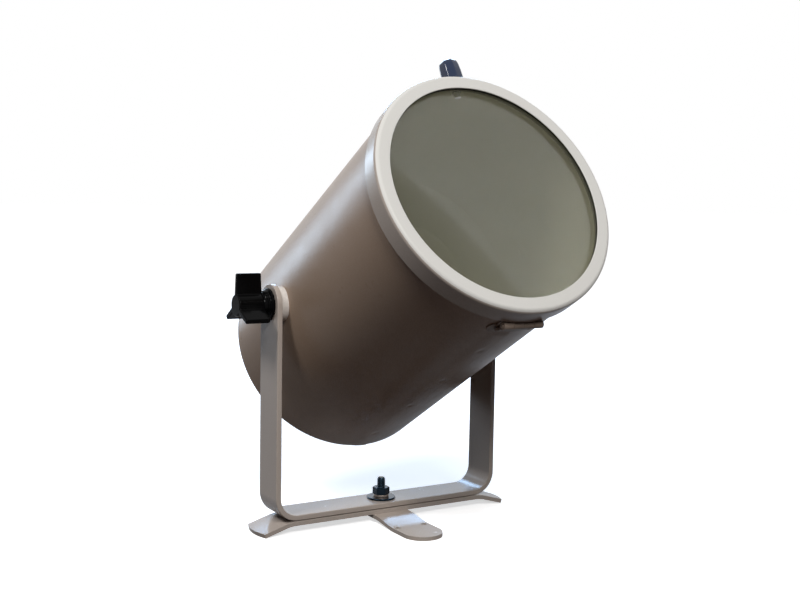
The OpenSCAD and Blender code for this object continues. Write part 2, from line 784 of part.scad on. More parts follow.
// the bezel's section, from the skirt's rear edge round the front to the lip
module bezel_section() {
    arc = [0:15:90];
    in_round = bezel_round - bezel_wall;
    c = [skirt_r - bezel_round, bezel_z - bezel_round];
    polygon(concat(
        [[skirt_in_r, skirt_z], [skirt_r, skirt_z]],
        [for (a = arc) c + bezel_round * [cos(a), sin(a)]],
        [[lens_r, bezel_z], [lens_r, lip_z]],
        [for (a = arc) c + in_round * [sin(a), cos(a)]]
    ));
}

module bezel_ring() {
    color("#ddd8d0") in_can() difference() {
        rotate_extrude() bezel_section();
        translate([0, skirt_r + cut, latch_z]) rotate([90, 0, 0])
            cylinder(h = 4 * bezel_wall, r = latch_screw_r + running, $fn = small_fn);
    }
}

module front_glass() {
    color("#dfe8e4", 0.35) in_can() translate([0, 0, glass_z]) cylinder(h = glass_t, r = glass_r - seat);
}

module glass_gasket() {
    in_r = lens_r + gasket_setback;
    color("#1c1c1c") in_can() difference() {
        tube(gasket_r - seat, in_r, gasket_z, lip_z);
        translate([0, 0, glass_z]) cylinder(h = glass_t, r = glass_r);
    }
}

module glass_clips() {
    color("#9a9a98") in_can() for (i = [0:clip_count - 1]) rotate([0, 0, (i + 0.5) * 360 / clip_count])
        intersection() {
            translate([skirt_in_r - clip_reach, -clip_w / 2, clip_z]) cube([clip_reach, clip_w, clip_t]);
            cylinder(h = 2 * can_front, r = skirt_in_r);
        }
}

function knuckle_x(i) = -hinge_w / 2 + i * knuckle_len + knuckle_gap / 2;

// a knuckle along X at the hinge pin, the i-th from the left
module knuckle(i) {
    translate([knuckle_x(i), hinge_y, hinge_z]) rotate([0, 90, 0])
        cylinder(h = knuckle_len - knuckle_gap, r = knuckle_r, $fn = small_fn);
}

module hinge_bore() {
    translate([0, hinge_y, hinge_z]) rotate([0, 90, 0])
        cylinder(h = 2 * hinge_w, r = hinge_pin_r + running, center = true, $fn = small_fn);
}

module hinge_leaf_can() {
    color("#6e655c") in_can() difference() {
        union() {
            intersection() {
                tube(can_r + leaf_t, can_r, 0, can_front);
                union() {
                    translate([0, 0, hinge_z - leaf_len / 2 - hinge_relief])
                        rotate([90, 0, 0]) linear_extrude(2 * can_r)
                            rounded_2d(leaf_w, leaf_len - 2 * hinge_relief, leaf_round);
                    for (i = [0:2:knuckle_count - 1])
                        translate([knuckle_x(i), -2 * can_r, hinge_z - leaf_len / 2])
                            cube([knuckle_len - knuckle_gap, 2 * can_r, leaf_len / 2]);
                }
            }
            for (i = [0:2:knuckle_count - 1]) knuckle(i);
        }
        hinge_bore();
        for (side = [-1, 1]) translate([side * rivet_spacing / 2, 0, hinge_z - rivet_back])
            rotate([90, 0, 0]) cylinder(h = 2 * can_r, r = rivet_r + seat, $fn = small_fn);
    }
}

module hinge_leaf_bezel() {
    color("#6e655c") in_can() difference() {
        union() {
            intersection() {
                tube(skirt_in_r, skirt_in_r - leaf_t, 0, 2 * can_front);
                union() {
                    translate([-hinge_w / 2, -2 * can_r, hinge_z + hinge_relief])
                        cube([hinge_w, 2 * can_r, bezel_leaf_len - hinge_relief]);
                    for (i = [1:2:knuckle_count - 1]) translate([knuckle_x(i), -2 * can_r, hinge_z])
                        cube([knuckle_len - knuckle_gap, 2 * can_r, bezel_leaf_len / 2]);
                }
            }
            for (i = [1:2:knuckle_count - 1]) knuckle(i);
        }
        hinge_bore();
    }
}

module hinge_pin() {
    color("#8d9299") in_can() translate([0, hinge_y, hinge_z]) rotate([0, 90, 0])
        cylinder(h = hinge_w + hinge_pin_over, r = hinge_pin_r, center = true, $fn = small_fn);
}

module hinge_rivets() {
    color("#7a7068") in_can() for (side = [-1, 1])
        translate([side * rivet_spacing / 2, -can_r - leaf_t, hinge_z - rivet_back]) rotate([90, 0, 0])
            domed_screw(rivet_r, can_wall + leaf_t + rivet_tail, rivet_head_r, rivet_head_h);
}

// latch pieces are drawn along +Z, out from the can's axis at its top
module at_latch() {
    in_can() translate([0, 0, latch_z]) rotate([-90, 0, 0]) children();
}

module latch_knob() {
    dome_h = latch_knob_h - latch_foot_h - latch_taper_h;
    ball_r = (latch_top_r * latch_top_r + dome_h * dome_h) / (2 * dome_h);
    ball_z = latch_knob_h - ball_r;
    low_angle = asin((ball_r - dome_h) / ball_r);
    dome_steps = 6;
    color("#141c30") at_latch() translate([0, 0, latch_knob_z]) difference() {
        union() {
            rotate([0, 0, latch_turn]) cylinder(h = latch_foot_h, r = latch_knob_r, $fn = 8);
            rotate_extrude($fn = small_fn) polygon(concat(
                [[0, latch_foot_h / 2], [latch_taper_r, latch_foot_h / 2], [latch_taper_r, latch_foot_h]],
                [for (i = [0:dome_steps]) let (a = low_angle + (90 - low_angle) * i / dome_steps)
                    i == dome_steps ? [0, latch_knob_h] : [ball_r * cos(a), ball_z + ball_r * sin(a)]]
            ));
        }
        translate([0, 0, -cut]) cylinder(h = latch_screw_top - latch_knob_z + seat + cut,
            r = latch_screw_r + seat, $fn = small_fn);
    }
}

module latch_screw() {
    color("#8d9299") at_latch() translate([0, 0, latch_screw_end])
        cylinder(h = latch_screw_top - latch_screw_end, r = latch_screw_r, $fn = small_fn);
}

module latch_washer() {
    color("#5a2c22") at_latch()
        tube(latch_washer_r, latch_screw_r + running, latch_washer_z, latch_knob_z - seat);
}

module latch_nut() {
    color("#3b3b3d") at_latch() translate([0, 0, latch_nut_z]) difference() {
        translate([-latch_nut_w / 2, -latch_nut_w / 2, 0]) cube([latch_nut_w, latch_nut_w, latch_nut_t]);
        translate([0, 0, -cut])
            cylinder(h = latch_nut_t + 2 * cut, r = latch_screw_r + running, $fn = small_fn);
    }
}

// the four places of the chassis rods, two on either side
module at_rods() {
    for (turn = [-rod_turn, rod_turn, 180 - rod_turn, 180 + rod_turn]) rotate([0, 0, turn]) children();
}

module lamp_plate() {
    color("#202224") in_can() difference() {
        translate([0, 0, plate_z]) cylinder(h = plate_t, r = can_in_r - plate_gap);
        at_rods() translate([rod_ring_r, 0, plate_z - cut])
            cylinder(h = plate_t + 2 * cut, r = screw_r + screw_clear, $fn = small_fn);
        for (side = [-1, 1]) translate([side * lead_pitch / 2, lead_hole_y, plate_z - cut])
            cylinder(h = plate_t + 2 * cut, r = lead_r + screw_clear, $fn = small_fn);
        for (side = [-1, 1]) translate([side * driver_screw_x, -driver_down, plate_z - cut])
            cylinder(h = plate_t + 2 * cut, r = screw_r + seat, $fn = small_fn);
    }
}

module heatsink() {
    color("#2a2c2f") in_can() {
        translate([0, 0, heatsink_z]) cylinder(h = heatsink_base_t, r = heatsink_r);
        reach = floor((heatsink_r - fin_t) / fin_pitch) * fin_pitch;
        for (x = [-reach:fin_pitch:reach]) {
            half = sqrt(heatsink_r * heatsink_r - pow(abs(x) + fin_t / 2, 2)) - fin_inset;
            translate([x - fin_t / 2, -half, heatsink_z - heatsink_fin_h])
                cube([fin_t, 2 * half, heatsink_fin_h]);
        }
    }
}

module lamp_board() {
    color("#e8e8e2") in_can() translate([0, 0, board_z]) difference() {
        linear_extrude(board_t) rounded_2d(board_w, board_w, 3);
        at_reflector_screws() translate([0, 0, -cut])
            cylinder(h = board_t + 2 * cut, r = reflector_screw_r + seat, $fn = small_fn);
    }
}

module light_emitter() {
    color("#e8c84a") in_can() translate([0, 0, emitter_z]) cylinder(h = emitter_t, r = emitter_r);
}

module at_reflector_screws() {
    for (turn = [60:120:300]) rotate([0, 0, turn])
        translate([reflector_screw_ring_r, 0, 0]) children();
}

// the reflector is a parabola about the light: its height over its throat, and back
function bowl_z(r) = (r * r - throat_r * throat_r) / (4 * focal);
function bowl_r(z) = sqrt(4 * focal * z + throat_r * throat_r);

module reflector() {
    steps = 10;
    foot_r = throat_r + reflector_wall + reflector_foot_w;
    rim_r = reflector_r + reflector_rim_w;
    top_z = bowl_z(reflector_r);
    rim_z = top_z - reflector_foot_t;
    radii = [for (i = [0:steps]) throat_r + (reflector_r - throat_r) * i / steps];
    color("#b9bcc0") in_can() translate([0, 0, emitter_z + seat]) difference() {
        rotate_extrude() polygon(concat(
            [for (r = radii) [r, bowl_z(r)]],
            [[rim_r, top_z], [rim_r, rim_z], [bowl_r(rim_z) + reflector_wall, rim_z]],
            [for (i = [steps:-1:0])
                if (bowl_z(radii[i]) > reflector_foot_t && bowl_z(radii[i]) < rim_z)
                    [radii[i] + reflector_wall, bowl_z(radii[i])]],
            [[bowl_r(reflector_foot_t) + reflector_wall, reflector_foot_t],
                [foot_r, reflector_foot_t], [foot_r, 0]]
        ));
        at_reflector_screws() translate([0, 0, -cut])
            cylinder(h = 2 * cut + reflector_foot_t, r = reflector_screw_r + seat, $fn = small_fn);
    }
}

module reflector_screws() {
    color("#8d9299") in_can() at_reflector_screws() translate([0, 0, emitter_z + seat + reflector_foot_t])
        domed_screw(reflector_screw_r, reflector_foot_t + seat + board_t, 2, 1.2);
}

module chassis_rods() {
    color("#9aa0a6") in_can() at_rods() translate([rod_ring_r, 0, cover_z]) difference() {
        cylinder(h = plate_z - cover_z, r = rod_r, $fn = small_fn);
        for (z = [-cut, plate_z - cover_z - chassis_screw_len]) translate([0, 0, z])
            cylinder(h = chassis_screw_len + cut, r = screw_r + seat, $fn = small_fn);
    }
}

module chassis_screws() {
    color("#4a4f55") in_can() at_rods() translate([rod_ring_r, 0, 0]) {
        translate([0, 0, cover_z - cover_t]) mirror([0, 0, 1])
            domed_screw(screw_r, chassis_screw_len, screw_head_r, screw_head_h);
        translate([0, 0, -plate_back])
            domed_screw(screw_r, chassis_screw_len, screw_head_r, screw_head_h);
    }
}

module driver_box() {
    color("#d8d8d4") in_can() translate([0, -driver_down, plate_z]) difference() {
        union() {
            translate([-driver_w / 2, -driver_h / 2, -driver_d]) cube([driver_w, driver_h, driver_d]);
            translate([-driver_w / 2 - driver_ear, -driver_ear, -driver_ear_t])
                cube([driver_w + 2 * driver_ear, 2 * driver_ear, driver_ear_t]);
        }
        for (side = [-1, 1]) translate([side * driver_screw_x, 0, -driver_ear_t - cut])
            cylinder(h = driver_ear_t + 2 * cut, r = screw_r + seat, $fn = small_fn);
    }
}

module driver_screws() {
    color("#4a4f55") in_can() for (side = [-1, 1])
        translate([side * driver_screw_x, -driver_down, -plate_back])
            domed_screw(screw_r, driver_screw_len, screw_head_r, screw_head_h);
}

module terminal_block() {
    color("#ece8dc") in_can() translate([0, inlet_up, plate_z]) difference() {
        translate([-terminal_w / 2, -terminal_h / 2, -terminal_d])
            cube([terminal_w, terminal_h, terminal_d]);
        for (i = [-1:1]) translate([i * lead_pitch, 0, -terminal_d - cut])
            cylinder(h = terminal_hole_len + cut, r = terminal_hole_r, $fn = small_fn);
    }
}

module power_inlet() {
    pocket_w = inlet_w - 2 * inlet_wall;
    pocket_h = inlet_h - 2 * inlet_wall;
    color("#141416") in_can() translate([0, inlet_up, inlet_z]) difference() {
        union() {
            linear_extrude(inlet_flange_t) rounded_2d(inlet_flange_w, inlet_flange_h, 4);
            translate([-inlet_w / 2, -inlet_h / 2, 0]) cube([inlet_w, inlet_h, inlet_d]);
        }
        translate([-pocket_w / 2, -pocket_h / 2, -cut])
            cube([pocket_w, pocket_h, inlet_d - inlet_web + cut]);
        for (side = [-1, 1]) translate([side * inlet_screw_dx / 2, 0, -cut])
            cylinder(h = inlet_flange_t + 2 * cut, r = screw_r + seat, $fn = small_fn);
        at_inlet_pins() translate([-pin_w / 2 - seat, -pin_t / 2 - seat, 0])
            cube([pin_w + 2 * seat, pin_t + 2 * seat, inlet_d + cut]);
    }
}

module at_inlet_pins() {
    for (p = [[-pin_dx, -pin_dy / 2], [0, pin_dy / 2], [pin_dx, -pin_dy / 2]])
        translate([p[0], p[1], 0]) children();
}

module inlet_pins() {
    color("#c9ccd0") in_can() translate([0, inlet_up, inlet_z]) at_inlet_pins()
        translate([-pin_w / 2, -pin_t / 2, pin_out]) cube([pin_w, pin_t, inlet_d]);
}

module inlet_screws() {
    color("#4a4f55") in_can() for (side = [-1, 1])
        translate([side * inlet_screw_dx / 2, inlet_up, inlet_z])
            mirror([0, 0, 1]) domed_screw(screw_r, inlet_screw_len, screw_head_r, screw_head_h);
}

// from the inlet's pins into the terminal block
module mains_leads() {
    pin_end = inlet_z + inlet_d + pin_out;
    block_z = plate_z - terminal_d;
    color("#6b4a2e") in_can() for (i = [-1:1]) {
        y0 = inlet_up + (i == 0 ? pin_dy : -pin_dy) / 2;
        lead([[i * pin_dx, y0, pin_end], [i * pin_dx, y0, pin_end + mains_start],
            [i * lead_pitch, inlet_up, block_z - mains_start],
            [i * lead_pitch, inlet_up, block_z + terminal_hole_len]], lead_r);
    }
}

module driver_leads() {
    color("#6b4a2e") in_can() for (side = [0, 1]) mirror([side, 0, 0]) lead(driver_route, lead_r);
}

module lamp_leads() {
    color("#a03028") in_can() for (side = [0, 1]) mirror([side, 0, 0]) lead(lamp_route, lead_r);
}

foot_long();
foot_cross();
centre_bolt();
pan_washer();
clamp_washer();
lock_washer();
clamp_nut();
yoke();
can_shell();
rear_cover();
cover_lugs();
cover_screws();
pivot_spacers();
pivot_studs();
pivot_nuts();
at_arm(-1) wing_knob();  // wing_knob_left
at_arm(1) wing_knob();  // wing_knob_right
at_arm(-1) wing_insert();  // wing_insert_left
at_arm(1) wing_insert();  // wing_insert_right
bezel_ring();
front_glass();
glass_gasket();
glass_clips();
hinge_leaf_can();
hinge_leaf_bezel();
hinge_pin();
hinge_rivets();
latch_knob();
latch_screw();
latch_washer();
latch_nut();
lamp_plate();
heatsink();
lamp_board();
light_emitter();
reflector();
reflector_screws();
chassis_rods();
chassis_screws();
driver_box();
driver_screws();
terminal_block();
power_inlet();
inlet_pins();
inlet_screws();
mains_leads();
driver_leads();
lamp_leads();
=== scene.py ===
import json
import math

import bmesh
import bpy
from mathutils import Matrix, Vector


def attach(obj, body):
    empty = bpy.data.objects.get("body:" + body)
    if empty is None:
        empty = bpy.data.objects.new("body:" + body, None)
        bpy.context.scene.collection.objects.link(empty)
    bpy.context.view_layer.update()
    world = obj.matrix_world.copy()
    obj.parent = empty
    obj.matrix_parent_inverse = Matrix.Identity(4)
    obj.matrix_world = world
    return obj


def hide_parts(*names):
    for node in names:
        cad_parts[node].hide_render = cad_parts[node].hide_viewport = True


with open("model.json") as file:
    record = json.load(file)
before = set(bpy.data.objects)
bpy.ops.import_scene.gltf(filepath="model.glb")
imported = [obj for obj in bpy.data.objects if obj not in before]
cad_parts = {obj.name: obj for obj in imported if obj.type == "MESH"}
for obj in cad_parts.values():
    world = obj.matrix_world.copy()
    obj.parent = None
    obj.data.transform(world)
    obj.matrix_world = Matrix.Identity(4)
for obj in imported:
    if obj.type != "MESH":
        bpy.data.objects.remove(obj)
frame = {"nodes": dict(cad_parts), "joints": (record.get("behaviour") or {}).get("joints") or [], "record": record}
bpy.ops.object.select_all(action="DESELECT")
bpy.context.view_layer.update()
SLOTS = {part["node"]: part["material_slot"] for part in frame["record"]["subparts"]}

# How close counts when points are merged, halves are joined and edges are picked
MERGE = 0.000002
CAD_MERGE = 0.000004
SEAM_MERGE = 0.00005
NEAR = 0.0001

# Places, from the frame. The can is modelled along +Z with its top at +Y, and CAN then tilts it.
joints = {joint["name"]: joint for joint in frame["joints"]}
PIVOT = Vector(joints["tilt"]["pos_m"])
UPWARDS = Vector(joints["latch_turn"]["axis"]).normalized()
SIDEWAYS = Vector((1, 0, 0))
FORWARDS = SIDEWAYS.cross(UPWARDS)
CAN = Matrix.Translation(PIVOT) @ Matrix((SIDEWAYS, UPWARDS, FORWARDS)).transposed().to_4x4()

# The can
CAN_R = 0.108
CAN_WALL = 0.0012
CAN_FRONT = 0.200
CAN_BACK = 0.1067
CAN_IN_R = CAN_R - CAN_WALL
LAP_X = 0.003
LAP_STEP = 0.0004
LAP_HEIGHT = 0.0009
LAP_BLEND = 0.020
LAP_FULL_X = -0.006
LAP_END = 0.1662
LAP_FADE = 0.004
LAP_BAND = 0.03
WELD_X = -0.004
WELDS = [-0.071, 0.003, 0.062, 0.128]
WELD_R = 0.0032
WELD_FIELD_R = 0.009
WELD_DEPTH = 0.0005

# The bezel
LENS_R = 0.098
SKIRT_IN_R = 0.1097
SKIRT_R = 0.111
SKIRT_Z = 0.1902
BEZEL_Z = 0.2092
BEZEL_WALL = 0.0013
BEZEL_ROUND = 0.004
LIP_Z = BEZEL_Z - BEZEL_WALL
GLASS_Z = 0.2032
GLASS_T = 0.0032
GLASS_R = 0.10535
GASKET_Z = 0.2017
GASKET_R = 0.10695
GASKET_IN_R = LENS_R + 0.0005
GASKET_BACK_R = LENS_R + 0.0018
LATCH_Z = 0.196
LATCH_BOLT_R = 0.0025
LATCH_HOLE_R = LATCH_BOLT_R + 0.00006
LATCH_NOTCH_R = LATCH_BOLT_R + 0.0004
LATCH_KNOB_Z = 0.11205
LATCH_FOOT_R = 0.0097
LATCH_FOOT_T = 0.0095
LATCH_TURN = 32.5

# The yoke and its clamps
YOKE_W = 0.037
YOKE_T = 0.005
YOKE_Z = 0.012
ARM_X = 0.115
YOKE_BEND_R = 0.017
STUD_R = 0.005
CAN_HOLE_R = STUD_R + 0.00005
ARM_HOLE_R = STUD_R + 0.00006
KNOB_HOLE_R = STUD_R + 0.0002
KNOB_X = 0.1202
KNOB_FLANGE_R = 0.0146
KNOB_HUB_R = 0.010
KNOB_R = 0.0285
KNOB_LOW_R = 0.026
WING_Z = 0.008
WING_LEN = 0.0245
WING_MIDDLE_Z = WING_Z + WING_LEN / 2
WING_HALF_ANGLE = 20.5

# The foot bars and the centre bolt
FOOT_W = 0.038
BAR_EASE = 0.0008
LONG_HALF = 0.134
LONG_T = 0.004
LONG_Z = 0.0074
LONG_BEND_X = 0.104
LONG_END_R = 0.048
CROSS_FRONT = 0.094
CROSS_BACK = 0.062
CROSS_T = 0.0036
CROSS_Z = 0.0038
CROSS_SLOPE_Y = 0.026
CROSS_PAD_Y = 0.053
FLOOR_SCREW_R = 0.00275
FLOOR_SCREW_X = 0.014
FLOOR_SCREW_Y = 0.0565
BOLT_R = 0.004
BOLT_SHANK_Z = 0.0075
BOLT_TOP = 0.0375
THREAD_DEPTH = 0.0007
THREAD_PITCH = 0.00125
YOKE_HOLE_R = BOLT_R + 0.00006
FOOT_HOLE_R = BOLT_R + 0.0003
NECK_HOLE_W = 0.0091
NUT_Z = 0.021
NUT_AF = 0.0143
NUT_T = 0.0072
NUT_HOLE_R = BOLT_R + 0.00005


# Working in edit mode

def edit(ob):
    bpy.ops.object.select_all(action="DESELECT")
    ob.select_set(True)
    bpy.context.view_layer.objects.active = ob
    bpy.ops.object.mode_set(mode="EDIT")
    bpy.ops.mesh.select_mode(type="VERT")


def leave():
    bpy.ops.object.mode_set(mode="OBJECT")


def pick(kind, wanted):
    """selects, of the mesh in edit mode, the edges or faces that are wanted by their middle"""
    mesh = bpy.context.edit_object.data
    bpy.ops.mesh.select_mode(type={"edges": "EDGE", "faces": "FACE"}[kind])
    bpy.ops.mesh.select_all(action="DESELECT")
    work = bmesh.from_edit_mesh(mesh)
    for part in getattr(work, kind):
        if kind == "edges":
            middle = (part.verts[0].co + part.verts[1].co) / 2
        else:
            middle = part.calc_center_median()
        if wanted(middle, part):
            part.select_set(True)
    work.select_flush_mode()
    bmesh.update_edit_mesh(mesh)


def pull(offset):
    """extrudes what is selected by an offset"""
    bpy.ops.mesh.extrude_region_move(TRANSFORM_OT_translate={"value": offset})


def outwards():
    """merges the doubles of the mesh in edit mode and turns its faces outwards"""
    bpy.ops.mesh.select_all(action="SELECT")
    bpy.ops.mesh.remove_doubles(threshold=MERGE)
    bpy.ops.mesh.normals_make_consistent(inside=False)


def modify(ob, kind, **settings):
    """adds a modifier and applies it"""
    bpy.ops.object.select_all(action="DESELECT")
    ob.select_set(True)
    bpy.context.view_layer.objects.active = ob
    modifier = ob.modifiers.new(kind.title(), kind)
    for name, value in settings.items():
        setattr(modifier, name, value)
    bpy.ops.object.modifier_apply(modifier=modifier.name)


def ease(ob, width, segments=2, angle=35):
    """rounds every edge that is sharper than the angle"""
    modify(ob, "BEVEL", width=width, segments=segments, limit_method="ANGLE",
           angle_limit=math.radians(angle), use_clamp_overlap=True)


def mirrored(ob):
    """adds the other half, across the plane between the arms"""
    modify(ob, "MIRROR", use_axis=(True, False, False), use_mirror_merge=True,
           merge_threshold=SEAM_MERGE)


def cut(ob, *cutters, keep="DIFFERENCE"):
    """cuts with each cutter, or unites or intersects with it, and removes it"""
    for cutter in cutters:
        modify(ob, "BOOLEAN", operation=keep, object=cutter, solver="EXACT")
        bpy.data.objects.remove(cutter)


def place(ob, matrix=Matrix.Identity(4)):
    """puts the object's place into its mesh"""
    ob.data.transform(matrix @ ob.matrix_basis)
    ob.matrix_basis = Matrix.Identity(4)


def arc(centre, radius, start, end, steps):
    """points of an arc in the (radius, height) plane, the angles in degrees"""
    turns = [math.radians(start + (end - start) * i / steps) for i in range(steps + 1)]
    return [(centre[0] + radius * math.cos(a), centre[1] + radius * math.sin(a)) for a in turns]


def turned(outline, steps=96, ring=False):
    """a round piece about Z, ring by ring along its outline of (radius, height) points"""
    radius, height = outline[0]
    bpy.ops.mesh.primitive_circle_add(vertices=steps, radius=radius, location=(0, 0, height))
    ob = bpy.context.object
    place(ob)
    edit(ob)
    bpy.ops.mesh.select_all(action="SELECT")
    for next_radius, next_height in outline[1:] + (outline[:1] if ring else []):
        pull((0, 0, next_height - height))
        share = next_radius / radius
        bpy.ops.transform.resize(value=(share, share, 1), center_override=(0, 0, next_height))
        radius, height = next_radius, next_height
    bpy.ops.mesh.select_all(action="SELECT")
    bpy.ops.mesh.remove_doubles(threshold=MERGE)
    if not ring:
        bpy.ops.mesh.fill_holes(sides=0)
    outwards()
    leave()
    return ob


def rod(radius, length, middle, along="Z", steps=48):
    """a plain cylinder to cut with"""
    turn = {"X": (0, math.pi / 2, 0), "Y": (math.pi / 2, 0, 0), "Z": (0, 0, 0)}[along]
    bpy.ops.mesh.primitive_cylinder_add(vertices=steps, radius=radius, depth=length,
                                        location=middle, rotation=turn)
    return bpy.context.object


def block(size, middle):
    """a plain block to cut with"""
    bpy.ops.mesh.primitive_cube_add(size=1, location=middle)
    ob = bpy.context.object
    ob.scale = size
    bpy.ops.object.transform_apply(location=False, rotation=False, scale=True)
    return ob


def joined(first, *others):
    bpy.ops.object.select_all(action="DESELECT")
    for ob in (first, *others):
        ob.select_set(True)
    bpy.context.view_layer.objects.active = first
    bpy.ops.object.join()
    return first


def copied(ob, matrix):
    """a copy with its own mesh, moved by the matrix"""
    other = bpy.data.objects.new(ob.name, ob.data.copy())
    bpy.context.scene.collection.objects.link(other)
    other.data.transform(matrix)
    return other


def cad_copy(node):
    """a copy of a node's mesh with its loose triangles merged into faces"""
    mesh = frame["nodes"][node].data.copy()
    ob = bpy.data.objects.new(node + "_copy", mesh)
    bpy.context.scene.collection.objects.link(ob)
    edit(ob)
    bpy.ops.mesh.select_all(action="SELECT")
    bpy.ops.mesh.remove_doubles(threshold=CAD_MERGE)
    bpy.ops.mesh.dissolve_limited(angle_limit=math.radians(1.5))
    leave()
    return ob


def finished(ob, name, body, slot, replaces, smooth=35):
    """names the piece, gives it its finish and its body, and hides the nodes it stands for"""
    place(ob)
    ob.name = name
    ob.data.name = name
    ob.data.materials.clear()
    ob.data.materials.append(FINISHES[slot])
    bpy.ops.object.select_all(action="DESELECT")
    ob.select_set(True)
    bpy.context.view_layer.objects.active = ob
    bpy.ops.object.shade_smooth_by_angle(angle=math.radians(smooth))
    modify(ob, "WEIGHTED_NORMAL", keep_sharp=True)
    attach(ob, body)
    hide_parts(*replaces)


def second_finish(ob, finish, wanted):
    """gives another finish to the faces wanted by their middle and normal, seen along the can"""
    ob.data.materials.append(FINISHES[finish])
    to_can = CAN.inverted()
    for face in ob.data.polygons:
        if wanted(to_can @ face.center, to_can.to_3x3() @ face.normal):
            face.material_index = 1


# Shader nodes

def feed(tree, socket, value):
    """sets a socket to a number or a colour, or links another node's output to it"""
    if isinstance(value, bpy.types.NodeSocket):
        tree.links.new(value, socket)
    else:
        socket.default_value = value


def add_node(tree, kind, settings=None, **sockets):
    """a node with its settings; a socket's value is a number, a colour or another node's output"""
    made = tree.nodes.new(kind)
    for name, value in (settings or {}).items():
        setattr(made, name, value)
    for name, value in sockets.items():
        feed(tree, made.inputs[name.replace("_", " ")], value)
    return made


def mix_colour(tree, share, one, other):
    """one colour at share 0 and the other at share 1"""
    made = tree.nodes.new("ShaderNodeMix")
    made.data_type = "RGBA"
    share_socket, one_socket, other_socket, mixed = 0, 6, 7, 2
    for index, value in ((share_socket, share), (one_socket, one), (other_socket, other)):
        feed(tree, made.inputs[index], value)
    return made.outputs[mixed]


def remap(tree, value, low, high, to_low, to_high):
    """the value's range low to high, stretched to to_low to to_high"""
    made = add_node(tree, "ShaderNodeMapRange", None, Value=value, From_Min=low, From_Max=high,
                    To_Min=to_low, To_Max=to_high)
    return made.outputs[0]


def calculate(tree, operation, one, other):
    made = tree.nodes.new("ShaderNodeMath")
    made.operation = operation
    for socket, value in zip(made.inputs, (one, other)):
        feed(tree, socket, value)
    return made.outputs[0]


def new_group(name, inputs, outputs):
    """a node group; inputs and outputs are name: (socket type, default)"""
    tree = bpy.data.node_groups.new(name, "ShaderNodeTree")
    for label, (kind, default) in inputs.items():
        socket = tree.interface.new_socket(name=label, in_out="INPUT", socket_type=kind)
        socket.default_value = default
    for label, kind in outputs.items():
        tree.interface.new_socket(name=label, in_out="OUTPUT", socket_type=kind)
    return tree, tree.nodes.new("NodeGroupInput").outputs, tree.nodes.new("NodeGroupOutput").inputs


def new_material(name):
    """a material with an empty node tree, and that tree"""
    material = bpy.data.materials.new(name)
    material.use_nodes = True
    material.node_tree.nodes.clear()
    return material, material.node_tree


def shown(tree, shader, kind="ShaderNodeOutputMaterial"):
    """puts the shader on the surface"""
    out = tree.nodes.new(kind)
    tree.links.new(shader.outputs[0], out.inputs["Surface"])


NUMBER = "NodeSocketFloat"
COLOUR = "NodeSocketColor"


def paint_skin():
    """pearl or plain paint: flecks, slow cloudiness, orange peel and rubbed places"""
    tree, given, result = new_group("paint_skin", {
        "Colour": (COLOUR, (0.5, 0.5, 0.5, 1)),
        "Fleck": (COLOUR, (0.7, 0.7, 0.7, 1)),
        "Fleck Share": (NUMBER, 0.3),
        "Cloud": (COLOUR, (0.4, 0.4, 0.4, 1)),
        "Cloud Share": (NUMBER, 0.2),
        "Roughness": (NUMBER, 0.35),
        "Rubbing": (NUMBER, 0.1),
    }, {"Colour": COLOUR, "Roughness": NUMBER, "Height": NUMBER})
    spot = add_node(tree, "ShaderNodeTexCoord").outputs["Object"]
    cloud = add_node(tree, "ShaderNodeTexNoise", None, Vector=spot, Scale=14.0, Detail=4.0)
    fleck = add_node(tree, "ShaderNodeTexNoise", None, Vector=spot, Scale=1900.0, Detail=1.0)
    rubbed = add_node(tree, "ShaderNodeTexNoise", None, Vector=spot, Scale=45.0, Detail=6.0,
                      Roughness=0.7)
    peel = add_node(tree, "ShaderNodeTexNoise", None, Vector=spot, Scale=420.0, Detail=2.0)
    cloudy = remap(tree, cloud.outputs[0], 0.35, 0.7, 0.0, given["Cloud Share"])
    clouded = mix_colour(tree, cloudy, given["Colour"], given["Cloud"])
    flecks = remap(tree, fleck.outputs[0], 0.52, 0.66, 0.0, given["Fleck Share"])
    tree.links.new(mix_colour(tree, flecks, clouded, given["Fleck"]), result["Colour"])
    rubbing = remap(tree, rubbed.outputs[0], 0.3, 0.7, 0.0, given["Rubbing"])
    tree.links.new(calculate(tree, "ADD", given["Roughness"], rubbing), result["Roughness"])
    tree.links.new(peel.outputs[0], result["Height"])
    return tree


def metal_skin():
    """turned or plated steel: fine streaks, stains and dull places"""
    tree, given, result = new_group("metal_skin", {
        "Colour": (COLOUR, (0.5, 0.5, 0.5, 1)),
        "Stain": (COLOUR, (0.2, 0.2, 0.2, 1)),
        "Stain Share": (NUMBER, 0.4),
        "Roughness": (NUMBER, 0.3),
        "Dulling": (NUMBER, 0.2),
    }, {"Colour": COLOUR, "Roughness": NUMBER, "Height": NUMBER})
    spot = add_node(tree, "ShaderNodeTexCoord").outputs["Object"]
    stain = add_node(tree, "ShaderNodeTexNoise", None, Vector=spot, Scale=160.0, Detail=5.0,
                     Roughness=0.65)
    squeezed = add_node(tree, "ShaderNodeMapping", None, Vector=spot, Scale=(0.08, 1.0, 1.0))
    streak = add_node(tree, "ShaderNodeTexNoise", None, Vector=squeezed.outputs[0],
                      Scale=1500.0, Detail=2.0)
    stains = remap(tree, stain.outputs[0], 0.42, 0.7, 0.0, given["Stain Share"])
    tree.links.new(mix_colour(tree, stains, given["Colour"], given["Stain"]), result["Colour"])
    dull = remap(tree, stain.outputs[0], 0.35, 0.7, 0.0, given["Dulling"])
    tree.links.new(calculate(tree, "ADD", given["Roughness"], dull), result["Roughness"])
    tree.links.new(streak.outputs[0], result["Height"])
    return tree


